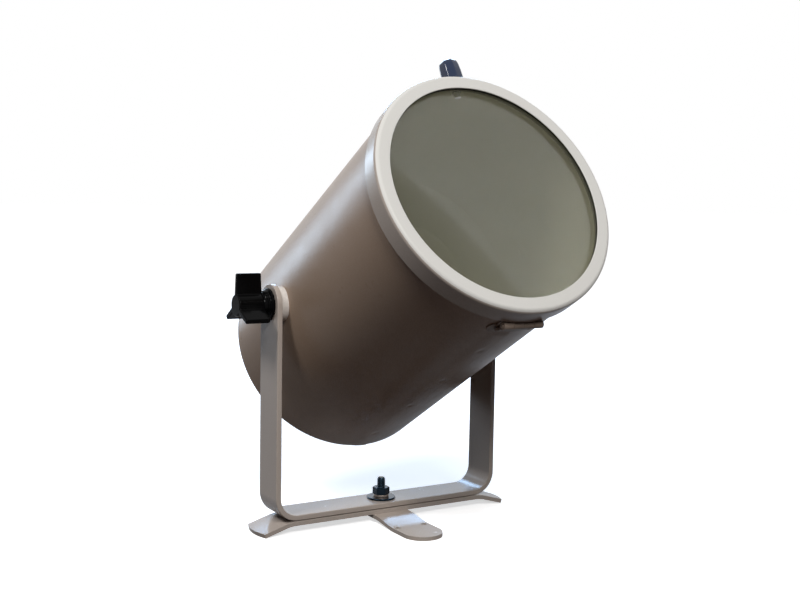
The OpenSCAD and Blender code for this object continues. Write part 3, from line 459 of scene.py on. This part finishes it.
def moulded_skin():
    """moulded plastic or rubber: slight cloudiness, dust and a fine grain"""
    tree, given, result = new_group("moulded_skin", {
        "Colour": (COLOUR, (0.1, 0.1, 0.1, 1)),
        "Dust": (COLOUR, (0.4, 0.38, 0.35, 1)),
        "Dust Share": (NUMBER, 0.05),
        "Roughness": (NUMBER, 0.4),
        "Handling": (NUMBER, 0.1),
    }, {"Colour": COLOUR, "Roughness": NUMBER, "Height": NUMBER})
    spot = add_node(tree, "ShaderNodeTexCoord").outputs["Object"]
    dust = add_node(tree, "ShaderNodeTexNoise", None, Vector=spot, Scale=70.0, Detail=8.0,
                    Roughness=0.75)
    grain = add_node(tree, "ShaderNodeTexNoise", None, Vector=spot, Scale=900.0, Detail=2.0)
    dusty = remap(tree, dust.outputs[0], 0.45, 0.75, 0.0, given["Dust Share"])
    tree.links.new(mix_colour(tree, dusty, given["Colour"], given["Dust"]), result["Colour"])
    handled = remap(tree, dust.outputs[0], 0.3, 0.7, 0.0, given["Handling"])
    tree.links.new(calculate(tree, "ADD", given["Roughness"], handled), result["Roughness"])
    tree.links.new(grain.outputs[0], result["Height"])
    return tree


PAINT_SKIN = paint_skin()
METAL_SKIN = metal_skin()
MOULDED_SKIN = moulded_skin()


def finish_of(name, skin, values, depth, strength, shader):
    """a material: the skin group's colour, roughness and relief on a Principled BSDF"""
    material, tree = new_material(name)
    surface = tree.nodes.new("ShaderNodeGroup")
    surface.node_tree = skin
    for label, value in values.items():
        surface.inputs[label].default_value = value
    relief = add_node(tree, "ShaderNodeBump", None, Strength=strength, Distance=depth,
                      Height=surface.outputs["Height"])
    principled = add_node(tree, "ShaderNodeBsdfPrincipled", None,
                          Base_Color=surface.outputs["Colour"],
                          Roughness=surface.outputs["Roughness"], Normal=relief.outputs[0])
    for label, value in shader.items():
        principled.inputs[label].default_value = value
    shown(tree, principled)
    return material


def paint(name, colour, fleck, cloud, roughness, fleck_share=0.3, specular=0.4):
    return finish_of(name, PAINT_SKIN, {
        "Colour": (*colour, 1), "Fleck": (*fleck, 1), "Cloud": (*cloud, 1),
        "Fleck Share": fleck_share, "Cloud Share": 0.3,
        "Roughness": roughness, "Rubbing": 0.08,
    }, 0.00004, 0.35, {"Specular IOR Level": specular})


def metal(name, colour, stain, roughness, stain_share=0.4, dulling=0.2):
    return finish_of(name, METAL_SKIN, {
        "Colour": (*colour, 1), "Stain": (*stain, 1), "Stain Share": stain_share,
        "Roughness": roughness, "Dulling": dulling,
    }, 0.00003, 0.3, {"Metallic": 1.0})


def moulded(name, colour, roughness, dust_share=0.04, relief=0.2, specular=0.5, handling=0.1):
    return finish_of(name, MOULDED_SKIN, {
        "Colour": (*colour, 1), "Dust Share": dust_share, "Roughness": roughness,
        "Handling": handling,
    }, 0.00003, relief, {"Specular IOR Level": specular})


def clear_glass():
    """toughened glass: clear, with a thin film of dust and a faint smear that dulls its gloss"""
    material, tree = new_material("clear_glass")
    spot = add_node(tree, "ShaderNodeTexCoord").outputs["Object"]
    smear = add_node(tree, "ShaderNodeTexNoise", None, Vector=spot, Scale=25.0, Detail=5.0)
    principled = add_node(tree, "ShaderNodeBsdfPrincipled", None,
                          Roughness=remap(tree, smear.outputs[0], 0.4, 0.75, 0.0, 0.05),
                          IOR=1.45, Alpha=0.20)
    principled.inputs["Base Color"].default_value = (0.42, 0.41, 0.27, 1)
    principled.inputs["Transmission Weight"].default_value = 0.5
    shown(tree, principled)
    return material


FINISHES = {
    "can_paint": paint("can_paint", (0.35, 0.255, 0.190), (0.48, 0.39, 0.32), (0.31, 0.22, 0.160),
                       0.27, specular=0.12),
    "can_inside": paint("can_inside", (0.33, 0.325, 0.240), (0.41, 0.40, 0.31),
                        (0.29, 0.285, 0.205), 0.55, fleck_share=0.1, specular=0.1),
    "bar_paint": paint("bar_paint", (0.40, 0.345, 0.305), (0.54, 0.49, 0.45), (0.36, 0.305, 0.265),
                       0.20, specular=0.26),
    "bezel_paint": paint("bezel_paint", (0.66, 0.65, 0.62), (0.74, 0.73, 0.70), (0.61, 0.60, 0.57),
                         0.36, fleck_share=0.2, specular=0.16),
    "spacer_paint": paint("spacer_paint", (0.62, 0.58, 0.54), (0.74, 0.70, 0.66),
                          (0.56, 0.52, 0.48), 0.35, specular=0.2),
    "hinge_steel": paint("hinge_steel", (0.26, 0.20, 0.16), (0.36, 0.30, 0.25),
                         (0.22, 0.165, 0.13), 0.34, specular=0.12),
    # painted reflection: the bolt and nut are plated steel; this near-black colour stands in for the dark
    # surroundings they reflect, and its blue tint for the blue light on them
    "dark_steel": metal("dark_steel", (0.020, 0.034, 0.050), (0.004, 0.005, 0.008), 0.14,
                        stain_share=0.85),
    "lock_steel": metal("lock_steel", (0.34, 0.28, 0.24), (0.16, 0.12, 0.10), 0.32),
    "zinc_steel": metal("zinc_steel", (0.56, 0.58, 0.60), (0.36, 0.37, 0.38), 0.30),
    "screw_steel": metal("screw_steel", (0.13, 0.135, 0.15), (0.05, 0.05, 0.055), 0.33),
    "clip_steel": metal("clip_steel", (0.58, 0.57, 0.55), (0.40, 0.38, 0.36), 0.34),
    "insert_brass": metal("insert_brass", (0.70, 0.50, 0.22), (0.45, 0.30, 0.12), 0.28),
    "pin_metal": metal("pin_metal", (0.72, 0.70, 0.62), (0.50, 0.46, 0.38), 0.26),
    "reflector_metal": metal("reflector_metal", (0.50, 0.50, 0.46), (0.42, 0.42, 0.38), 0.40,
                             stain_share=0.2, dulling=0.08),
    "plate_black": paint("plate_black", (0.035, 0.035, 0.038), (0.07, 0.07, 0.075),
                         (0.025, 0.025, 0.027), 0.42),
    "heatsink_black": paint("heatsink_black", (0.03, 0.031, 0.034), (0.06, 0.06, 0.065),
                            (0.02, 0.02, 0.022), 0.45),
    "board_white": moulded("board_white", (0.78, 0.78, 0.74), 0.35),
    "phosphor": moulded("phosphor", (0.82, 0.58, 0.08), 0.45),
    "fibre_dark": moulded("fibre_dark", (0.035, 0.027, 0.023), 0.7, dust_share=0.1),
    "fibre_red": moulded("fibre_red", (0.075, 0.022, 0.015), 0.6, dust_share=0.08),
    "knob_black": moulded("knob_black", (0.002, 0.002, 0.0022), 0.12, dust_share=0.004,
                          relief=0.05, specular=0.04, handling=0.03),
    # painted reflection: the latch knob is dark plastic; the dark part of this colour is its own, and the navy
    # tint stands in for the blue light it reflects
    "knob_blue": moulded("knob_blue", (0.006, 0.018, 0.055), 0.07, dust_share=0.01, relief=0.04,
                         specular=0.4, handling=0.03),
    "gasket_rubber": moulded("gasket_rubber", (0.012, 0.012, 0.012), 0.32, dust_share=0.04),
    "driver_white": moulded("driver_white", (0.70, 0.70, 0.67), 0.5),
    "terminal_cream": moulded("terminal_cream", (0.78, 0.74, 0.62), 0.45),
    "inlet_black": moulded("inlet_black", (0.018, 0.018, 0.019), 0.4, dust_share=0.08),
    "lead_brown": moulded("lead_brown", (0.10, 0.045, 0.022), 0.45),
    "lead_red": moulded("lead_red", (0.36, 0.025, 0.018), 0.42),
    "lens_glass": clear_glass(),
}


# The can

def can_body():
    """the sheet tube, the lap seam and spot welds along its bottom, its holes and latch notch"""
    rows = 90
    tip = 0.0003
    heights = [-CAN_BACK + tip + (CAN_FRONT + CAN_BACK - 2 * tip) * i / rows
               for i in range(rows + 1)]
    outline = [(CAN_R - tip, -CAN_BACK), *((CAN_R, z) for z in heights), (CAN_R - tip, CAN_FRONT),
               (CAN_IN_R + tip, CAN_FRONT), (CAN_IN_R, CAN_FRONT - tip), (CAN_IN_R, 0),
               (CAN_IN_R, tip - CAN_BACK), (CAN_IN_R + tip, -CAN_BACK)]
    ob = turned(outline, steps=240, ring=True)
    middle_r = (CAN_R + CAN_IN_R) / 2
    edit(ob)
    for x in (LAP_X, LAP_X + LAP_STEP):
        pick("faces", lambda p, f: p.y < -0.8 * CAN_R and abs(p.x) < LAP_BAND
             and math.hypot(p.x, p.y) > middle_r)
        bpy.ops.mesh.bisect(plane_co=(x, 0, 0), plane_no=(1, 0, 0))
    pick("faces", lambda p, f: p.y < 0 and math.hypot(p.x, p.y) > middle_r
         and any(math.hypot(p.x - WELD_X, p.z - z) < WELD_FIELD_R for z in WELDS))
    bpy.ops.mesh.subdivide(number_cuts=2)
    leave()
    for vertex in ob.data.vertices:
        x, y, z = vertex.co
        radius = math.hypot(x, y)
        if y > 0 or radius < middle_r:
            continue
        rise = 0.0
        if x < LAP_X + NEAR and z < LAP_END:
            share = min(1.0, max(0.0, (x + LAP_BLEND) / (LAP_BLEND + LAP_FULL_X)))
            rise = LAP_HEIGHT * share * share * (3 - 2 * share)
            rise *= min(1.0, (LAP_END - z) / LAP_FADE)
        for weld in WELDS:
            away = math.hypot(x - WELD_X, z - weld)
            rise -= WELD_DEPTH * math.exp(-(away / WELD_R) ** 2)
        vertex.co.x *= (radius + rise) / radius
        vertex.co.y *= (radius + rise) / radius
    cut(ob, rod(CAN_HOLE_R, 4 * CAN_R, (0, 0, 0), "X"),
        rod(LATCH_NOTCH_R, 0.01, (0, CAN_R, LATCH_Z), "Y"),
        block((2 * LATCH_NOTCH_R, 0.01, 0.02), (0, CAN_R, LATCH_Z + 0.01)))
    ob.data.transform(CAN)
    finished(ob, "can_body", "can", "can_paint", ["can_shell"])
    second_finish(ob, "can_inside", lambda p, normal: math.hypot(p.x, p.y) < middle_r)


def bezel():
    """the front ring: a rounded edge, a pale face and a folded lip, with its skirt in the bars' darker paint as
    painted shade on the ring's sides
    """
    corner = (SKIRT_R - BEZEL_ROUND, BEZEL_Z - BEZEL_ROUND)
    lip = 0.0006
    outline = [(SKIRT_IN_R, SKIRT_Z), (SKIRT_IN_R + 0.0003, SKIRT_Z - 0.00005),
               (SKIRT_R - 0.0003, SKIRT_Z), (SKIRT_R, SKIRT_Z + 0.0003),
               *arc(corner, BEZEL_ROUND, 0, 90, 10),
               *arc((LENS_R + lip, BEZEL_Z - lip), lip, 90, 270, 8),
               *arc(corner, BEZEL_ROUND - BEZEL_WALL, 90, 0, 8)]
    ob = turned(outline, steps=200, ring=True)
    cut(ob, rod(LATCH_HOLE_R, 0.02, (0, SKIRT_R, LATCH_Z), "Y"))
    ob.data.transform(CAN)
    finished(ob, "bezel", "bezel", "bezel_paint", ["bezel_ring"])
    # painted shade: the skirt faces, picked by their outward normals, take the darker bar paint, standing in for
    # the shade that falls on the ring's sides
    second_finish(ob, "bar_paint",
                  lambda p, normal: normal.to_2d().dot(p.to_2d().normalized()) > 0.8)


def glass_and_gasket():
    """the pane with its broken edges, and the rubber channel round it"""
    tip = 0.0003
    fit = 0.00005
    pane_front = GLASS_Z + GLASS_T
    pane = turned([(GLASS_R - tip, GLASS_Z), (GLASS_R, GLASS_Z + tip),
                   (GLASS_R, pane_front - tip), (GLASS_R - tip, pane_front)], 160)
    pane.data.transform(CAN)
    finished(pane, "glass_pane", "bezel", "lens_glass", ["front_glass"])
    channel = turned([(GASKET_R, GASKET_Z), (GASKET_R, LIP_Z), (GASKET_IN_R, LIP_Z),
                      (GASKET_IN_R, pane_front), (GLASS_R + fit, pane_front),
                      (GLASS_R + fit, GLASS_Z), (GASKET_BACK_R, GLASS_Z),
                      (GASKET_BACK_R, GASKET_Z)], 160, ring=True)
    ease(channel, 0.0005, 3)
    channel.data.transform(CAN)
    finished(channel, "gasket_channel", "bezel", "gasket_rubber", ["glass_gasket"])


def latch():
    """the bezel's knob: eight moulded flats, a taper and a domed top, in a navy finish whose blue is a painted
    reflection on dark plastic
    """
    bpy.ops.mesh.primitive_cylinder_add(vertices=8, radius=LATCH_FOOT_R, depth=LATCH_FOOT_T,
                                        location=(0, 0, LATCH_FOOT_T / 2))
    ob = bpy.context.object
    place(ob, Matrix.Rotation(math.radians(LATCH_TURN), 4, "Z"))
    edit(ob)
    pick("edges", lambda p, e: abs(p.z - LATCH_FOOT_T / 2) < NEAR)
    bpy.ops.mesh.bevel(offset=0.0011, segments=3, affect="EDGES")
    pick("faces", lambda p, f: p.z > LATCH_FOOT_T - 0.0005 and f.normal.z > 0.9)
    for rise, share in ((0.0012, 0.985), (0.0040, 0.975), (0.0030, 0.95), (0.0018, 0.90),
                        (0.0014, 0.80), (0.0009, 0.62)):
        pull((0, 0, rise))
        bpy.ops.transform.resize(value=(share, share, 1))
    leave()
    ease(ob, 0.0013, 4, 30)
    ob.data.transform(CAN @ Matrix.Translation((0, 0, LATCH_Z))
                      @ Matrix.Rotation(-math.pi / 2, 4, "X")
                      @ Matrix.Translation((0, 0, LATCH_KNOB_Z)))
    finished(ob, "latch_grip", "latch", "knob_blue", ["latch_knob"])


def wing_knob():
    """one tilt knob along +Z: a flange, a ribbed neck and a hub with three rounded wings"""
    base = turned([(KNOB_FLANGE_R - 0.0006, 0), (KNOB_FLANGE_R, 0.0006), (KNOB_FLANGE_R, 0.0024),
                   (KNOB_FLANGE_R - 0.0006, 0.003), (KNOB_FLANGE_R - 0.0020, 0.0032),
                   (0.0125, 0.0036), (0.0118, 0.0042), (0.0125, 0.0048), (0.0118, 0.0056),
                   (0.0124, 0.0064), (0.0112, 0.0074), (0.0108, 0.0090)], 72)
    bpy.ops.mesh.primitive_cylinder_add(vertices=36, radius=KNOB_HUB_R, depth=WING_LEN,
                                        location=(0, 0, WING_MIDDLE_Z),
                                        rotation=(0, 0, math.radians(5)))
    hub = bpy.context.object
    place(hub)
    edit(hub)
    root_x = KNOB_HUB_R * math.cos(math.radians(WING_HALF_ANGLE))
    for reach in (KNOB_R, KNOB_LOW_R, KNOB_LOW_R):
        pick("faces", lambda p, f: abs(f.normal.z) < 0.1 and p.x > root_x
             and math.hypot(p.x, p.y) < KNOB_HUB_R + 0.0005)
        pull((reach - KNOB_HUB_R, 0, 0))
        bpy.ops.transform.resize(value=(0, 0.86, 0.95), center_override=(reach, 0, WING_MIDDLE_Z))
        bpy.ops.mesh.select_all(action="SELECT")
        bpy.ops.transform.rotate(value=math.radians(120), orient_axis="Z",
                                 center_override=(0, 0, 0))
    leave()
    modify(hub, "DECIMATE", decimate_type="DISSOLVE", angle_limit=math.radians(4))
    modify(hub, "BEVEL", width=0.0012, segments=3, limit_method="ANGLE",
           angle_limit=math.radians(28), use_clamp_overlap=False)
    cut(hub, base, keep="UNION")
    cut(hub, rod(KNOB_HOLE_R, 0.055, (0, 0, 0), "Z"))
    return hub


def wing_knobs():
    """the two tilt knobs, turned so that the longest wing of each points up"""
    knob = wing_knob()
    for side, name in ((-1, "left"), (1, "right")):
        where = (Matrix.Translation((side * KNOB_X, PIVOT.y, PIVOT.z))
                 @ Matrix.Rotation(side * math.pi / 2, 4, "Y")
                 @ Matrix.Rotation(math.pi if side > 0 else 0, 4, "Z"))
        finished(copied(knob, where), f"wing_grip_{name}", f"wing_{name}", "knob_black",
                 [f"wing_knob_{name}"], smooth=40)
    bpy.data.objects.remove(knob)


# The yoke and the feet

def yoke_bar():
    """one arm and half of the base, drawn along the bar and mirrored"""
    bpy.ops.mesh.primitive_plane_add(size=1, rotation=(0, math.pi / 2, 0),
                                     location=(0, 0, YOKE_Z + YOKE_T / 2))
    ob = bpy.context.object
    ob.scale = (YOKE_T, YOKE_W, 1)
    bend_x = ARM_X - YOKE_BEND_R
    bend_z = YOKE_Z + YOKE_T + YOKE_BEND_R
    top = PIVOT.z + YOKE_W / 2
    place(ob)
    edit(ob)
    bpy.ops.mesh.select_all(action="SELECT")
    pull((bend_x, 0, 0))
    bpy.ops.mesh.spin(steps=16, angle=math.pi / 2, center=(bend_x, 0, bend_z), axis=(0, 1, 0))
    pull((0, 0, top - bend_z))
    pick("faces", lambda p, f: abs(p.x) < NEAR)
    bpy.ops.mesh.delete(type="FACE")
    pick("edges", lambda p, e: abs(p.z - top) < NEAR and abs(abs(p.y) - YOKE_W / 2) < NEAR
         and abs(e.verts[0].co.y - e.verts[1].co.y) < NEAR)
    bpy.ops.mesh.bevel(offset=YOKE_W / 2 - 0.00002, segments=20, affect="EDGES")
    outwards()
    leave()
    mirrored(ob)
    cut(ob, rod(ARM_HOLE_R, 0.4, (0, 0, PIVOT.z), "X"), rod(YOKE_HOLE_R, 0.04, (0, 0, YOKE_Z)))
    edit(ob)
    outwards()
    leave()
    ease(ob, BAR_EASE, 3, 50)
    finished(ob, "yoke_bar", "yoke", "bar_paint", ["yoke"])


def strip(folds, half, width, end_r, thickness):
    """a flat bar along X from its (x, height) folds, with rounded ends and eased bends"""
    columns = 24
    first_x, first_z = folds[0]
    bpy.ops.mesh.primitive_grid_add(x_subdivisions=1, y_subdivisions=columns, size=1,
                                    location=(first_x / 2, 0, first_z))
    ob = bpy.context.object
    ob.scale = (first_x, width, 1)
    place(ob)
    edit(ob)
    x, z = first_x, first_z
    for next_x, next_z in folds[1:]:
        pick("edges", lambda p, e: abs(e.verts[0].co.x - x) + abs(e.verts[1].co.x - x) < NEAR)
        pull((next_x - x, 0, next_z - z))
        x, z = next_x, next_z
    pick("edges", lambda p, e: abs(e.verts[0].co.x - e.verts[1].co.x) < NEAR
         and any(abs(p.x - fold[0]) < NEAR for fold in folds[:-1]))
    bpy.ops.mesh.bevel(offset=0.004, segments=5, affect="EDGES")
    leave()
    for vertex in ob.data.vertices:
        y = width / 2 * math.sin(math.pi * vertex.co.y / width)
        if vertex.co.x > half - NEAR:
            vertex.co.x = half - end_r + math.sqrt(max(0.0, end_r * end_r - y * y))
        vertex.co.y = y
    mirrored(ob)
    edit(ob)
    bpy.ops.mesh.select_all(action="SELECT")
    bpy.ops.mesh.normals_make_consistent(inside=False)
    leave()
    if sum(face.normal.z for face in ob.data.polygons) < 0:
        ob.data.flip_normals()
    modify(ob, "SOLIDIFY", thickness=thickness, offset=1, use_even_offset=True)
    return ob


def foot_bars():
    """the long bar along X, and the cross bar, made along X and turned to point front and back"""
    long_bar = strip([(LONG_BEND_X, LONG_Z), (LONG_HALF, 0.0)], LONG_HALF, FOOT_W, LONG_END_R,
                     LONG_T)
    cut(long_bar, rod(FOOT_HOLE_R, 0.04, (0, 0, LONG_Z)))
    ease(long_bar, BAR_EASE, 3, 50)
    finished(long_bar, "foot_bar_long", "base", "bar_paint", ["foot_long"])
    cross_bar = strip([(CROSS_SLOPE_Y, CROSS_Z), (CROSS_PAD_Y, 0.0), (CROSS_FRONT, 0.0)],
                      CROSS_FRONT, FOOT_W, FOOT_W / 2, CROSS_T)
    cut(cross_bar, block((0.1, 0.1, 0.1), (CROSS_BACK + 0.05, 0, 0)),
        block((NECK_HOLE_W, NECK_HOLE_W, 0.04), (0, 0, CROSS_Z)),
        *(rod(FLOOR_SCREW_R, 0.04, (x, y, 0)) for x in (-FLOOR_SCREW_Y, FLOOR_SCREW_Y)
          for y in (-FLOOR_SCREW_X, FLOOR_SCREW_X)))
    ease(cross_bar, BAR_EASE, 3, 50)
    place(cross_bar, Matrix.Rotation(math.pi / 2, 4, "Z"))
    finished(cross_bar, "foot_bar_cross", "base", "bar_paint", ["foot_cross"])


def centre_stack():
    """the centre bolt with its thread, and its nut, both in the dark_steel finish, whose near-black blue colour is
    a painted reflection
    """
    root_r = BOLT_R - THREAD_DEPTH
    start = NUT_Z - 0.006
    turns = int((BOLT_TOP - 0.0008 - start) / THREAD_PITCH)
    thread = []
    for i in range(turns):
        low = start + i * THREAD_PITCH
        thread += [(root_r, low), (BOLT_R, low + 0.45 * THREAD_PITCH),
                   (BOLT_R, low + 0.55 * THREAD_PITCH)]
    bolt = turned([(0.0004, BOLT_SHANK_Z), (BOLT_R, BOLT_SHANK_Z), (BOLT_R, start - 0.0005),
                   *thread, (root_r, start + turns * THREAD_PITCH),
                   (root_r, BOLT_TOP - 0.0003), (root_r - 0.0005, BOLT_TOP)], 40)
    head = cad_copy("centre_bolt")
    cut(head, block((0.05, 0.05, 0.06), (0, 0, BOLT_SHANK_Z + 0.03)))
    bolt = joined(bolt, head)
    finished(bolt, "bolt", "base", "dark_steel", ["centre_bolt"])
    corner = NUT_AF / 2 / math.cos(math.pi / 6)
    bpy.ops.mesh.primitive_cylinder_add(vertices=6, radius=corner, depth=NUT_T,
                                        location=(0, 0, NUT_Z + NUT_T / 2))
    nut = bpy.context.object
    place(nut)
    round_r = NUT_AF / 2
    rise = (corner - round_r) * math.tan(math.radians(28))
    nut_top = NUT_Z + NUT_T
    cut(nut, turned([(round_r - 0.0002, NUT_Z), (corner, NUT_Z + rise), (corner, nut_top - rise),
                     (round_r - 0.0002, nut_top)], 96), keep="INTERSECT")
    mouth = 0.0008
    cut(nut, turned([(BOLT_R + mouth, NUT_Z - 0.001), (BOLT_R + mouth, NUT_Z),
                     (NUT_HOLE_R, NUT_Z + mouth), (NUT_HOLE_R, nut_top - mouth),
                     (BOLT_R + mouth, nut_top), (BOLT_R + mouth, nut_top + 0.001)], 48))
    ease(nut, 0.00025, 2, 30)
    finished(nut, "nut", "base", "dark_steel", ["clamp_nut"])


# Nodes whose CAD shape is right, with their edges eased

EASED = [
    ("clamp_washer", "large_washer", "base", 0.0004),
    ("lock_washer", "split_washer", "base", 0.0003),
    ("rear_cover", "back_cover", "can", 0.0003),
    ("cover_lugs", "back_lugs", "can", 0.0003),
    ("pivot_spacers", "arm_spacers", "can", 0.0006),
    ("hinge_leaf_can", "leaf_on_can", "can", 0.0002),
    ("hinge_leaf_bezel", "leaf_on_bezel", "bezel", 0.0002),
    ("glass_clips", "clips", "bezel", 0.0002),
    ("latch_nut", "square_nut", "bezel", 0.0003),
    ("power_inlet", "inlet_body", "can", 0.0003),
    ("driver_box", "driver_case", "can", 0.0006),
    ("terminal_block", "terminal_strip", "can", 0.0005),
    ("heatsink", "cooler", "can", 0.0002),
]


def eased_nodes():
    for node, name, body, width in EASED:
        ob = cad_copy(node)
        ease(ob, width, 2, 40)
        finished(ob, name, body, SLOTS[node], [node])


def around(radius, degrees):
    """places on a circle round the can's middle, as (x, y)"""
    return [(radius * math.cos(math.radians(a)), radius * math.sin(math.radians(a)))
            for a in degrees]


# Screws in the rear cover, and the middles of their heads seen along the can
REAR_SCREWS = {
    "cover_screws": around(0.1006, (90, 210, 330)),
    "chassis_screws": around(0.064, (20, 160, 200, 340)),
    "inlet_screws": [(-0.020, 0.065), (0.020, 0.065)],
}
RECESS_LEN = 0.0034
RECESS_W = 0.0008
RECESS_DEEP = 0.0011


def rear_screws():
    """the screws that show at the back, with a cross recess in each head"""
    to_can = CAN.inverted()
    for node, spots in REAR_SCREWS.items():
        ob = cad_copy(node)
        back = min((to_can @ vertex.co).z for vertex in ob.data.vertices)
        for x, y in spots:
            recess = block((RECESS_LEN, RECESS_W, 2 * RECESS_DEEP), (x, y, back))
            cut(recess, block((RECESS_W, RECESS_LEN, 2 * RECESS_DEEP + 0.0002), (x, y, back)),
                keep="UNION")
            place(recess, CAN)
            cut(ob, recess)
        finished(ob, node.replace("screws", "cross_screws"), "can", SLOTS[node], [node])


def kept_nodes():
    """every node gets its slot's finish, except the hinge pin, which is dulled like its leaves"""
    for node, ob in frame["nodes"].items():
        finish = "hinge_steel" if node == "hinge_pin" else SLOTS[node]
        ob.data.materials.clear()
        ob.data.materials.append(FINISHES[finish])


# The studio

def camera():
    """at the photograph's viewing angle: turned left of the front, a little above level"""
    azimuth, elevation, roll = math.radians(-31.23), math.radians(5.08), math.radians(0.98)
    target, distance = Vector((0.01783, 0.0, 0.20903)), 1.0949
    back = Vector((math.sin(azimuth) * math.cos(elevation),
                   -math.cos(azimuth) * math.cos(elevation), math.sin(elevation)))
    level = Vector((math.cos(azimuth), math.sin(azimuth), 0))
    above = back.cross(level)
    right = level * math.cos(roll) + above * math.sin(roll)
    up = above * math.cos(roll) - level * math.sin(roll)
    data = bpy.data.cameras.new("camera")
    data.lens = 51.13
    data.sensor_width = 36
    data.clip_start = 0.01
    data.clip_end = 100
    ob = bpy.data.objects.new("camera", data)
    bpy.context.scene.collection.objects.link(ob)
    ob.matrix_world = Matrix.Translation(target + back * distance) @ Matrix(
        (right, up, back)).transposed().to_4x4()
    bpy.context.scene.camera = ob


def lamp(name, spot, target, size, energy, colour):
    """a rectangular area lamp, aimed at its target"""
    data = bpy.data.lights.new(name, "AREA")
    data.shape = "RECTANGLE"
    data.size, data.size_y = size
    data.energy = energy
    data.color = colour
    ob = bpy.data.objects.new(name, data)
    bpy.context.scene.collection.objects.link(ob)
    ob.location = spot
    ob.rotation_euler = (Vector(target) - ob.location).to_track_quat("-Z", "Y").to_euler()


def seen_directly(tree, in_reflections=1.0):
    """1 for rays from the camera or through glass, and the share given for a reflection"""
    path = tree.nodes.new("ShaderNodeLightPath").outputs
    reflected = calculate(tree, "MULTIPLY", path["Is Glossy Ray"], in_reflections)
    through = calculate(tree, "MAXIMUM", reflected, path["Is Transmission Ray"])
    return calculate(tree, "MAXIMUM", path["Is Camera Ray"], through)


def studio():
    """four lamps, air that looks white but hardly lights, and a floor that keeps the shadow"""
    lamp("front", (-0.60, -2.1, 1.85), (0, 0, 0.25), (0.8, 0.7), 50, (1.0, 0.99, 0.975))
    lamp("key", (-1.6, -0.4, 2.3), (0, 0, 0.2), (0.6, 0.6), 31, (1.0, 0.99, 0.98))
    lamp("back", (-0.6, 2.2, 0.7), (0, 0, 0.2), (0.5, 1.0), 14, (0.66, 0.82, 1.0))
    lamp("top", (0.8, 1.6, 1.3), (0, 0, 0.1), (1.2, 0.5), 27, (0.42, 0.66, 1.0))
    world = bpy.data.worlds.new("studio")
    bpy.context.scene.world = world
    world.use_nodes = True
    tree = world.node_tree
    tree.nodes.clear()
    seen = seen_directly(tree)
    air_colour = mix_colour(tree, seen, (0.012, 0.012, 0.016, 1), (1, 1, 1, 1))
    air = add_node(tree, "ShaderNodeBackground", None, Color=air_colour, Strength=1.0)
    shown(tree, air, "ShaderNodeOutputWorld")

    bpy.ops.mesh.primitive_plane_add(size=60, location=(0, 0, -0.0002))
    floor = bpy.context.object
    floor.name = "floor"
    material, tree = new_material("floor")
    seen = seen_directly(tree, in_reflections=0.35)
    spot = add_node(tree, "ShaderNodeTexCoord").outputs["Object"]
    away = add_node(tree, "ShaderNodeVectorMath", {"operation": "LENGTH"}, Vector=spot)
    glow = remap(tree, away.outputs["Value"], 0.15, 1.1, 0.62, 1.0)
    matt = add_node(tree, "ShaderNodeBsdfDiffuse", None,
                    Color=mix_colour(tree, seen, (0.045, 0.029, 0.024, 1), (0.9, 0.9, 0.9, 1)))
    lift = add_node(tree, "ShaderNodeEmission", None, Color=(1, 1, 1, 1),
                    Strength=calculate(tree, "MULTIPLY", seen, glow))
    both = tree.nodes.new("ShaderNodeAddShader")
    tree.links.new(matt.outputs[0], both.inputs[0])
    tree.links.new(lift.outputs[0], both.inputs[1])
    shown(tree, both)
    floor.data.materials.append(material)
    bpy.context.scene.view_settings.view_transform = "Standard"


camera()
kept_nodes()
can_body()
bezel()
glass_and_gasket()
latch()
wing_knobs()
yoke_bar()
foot_bars()
centre_stack()
eased_nodes()
rear_screws()
studio()
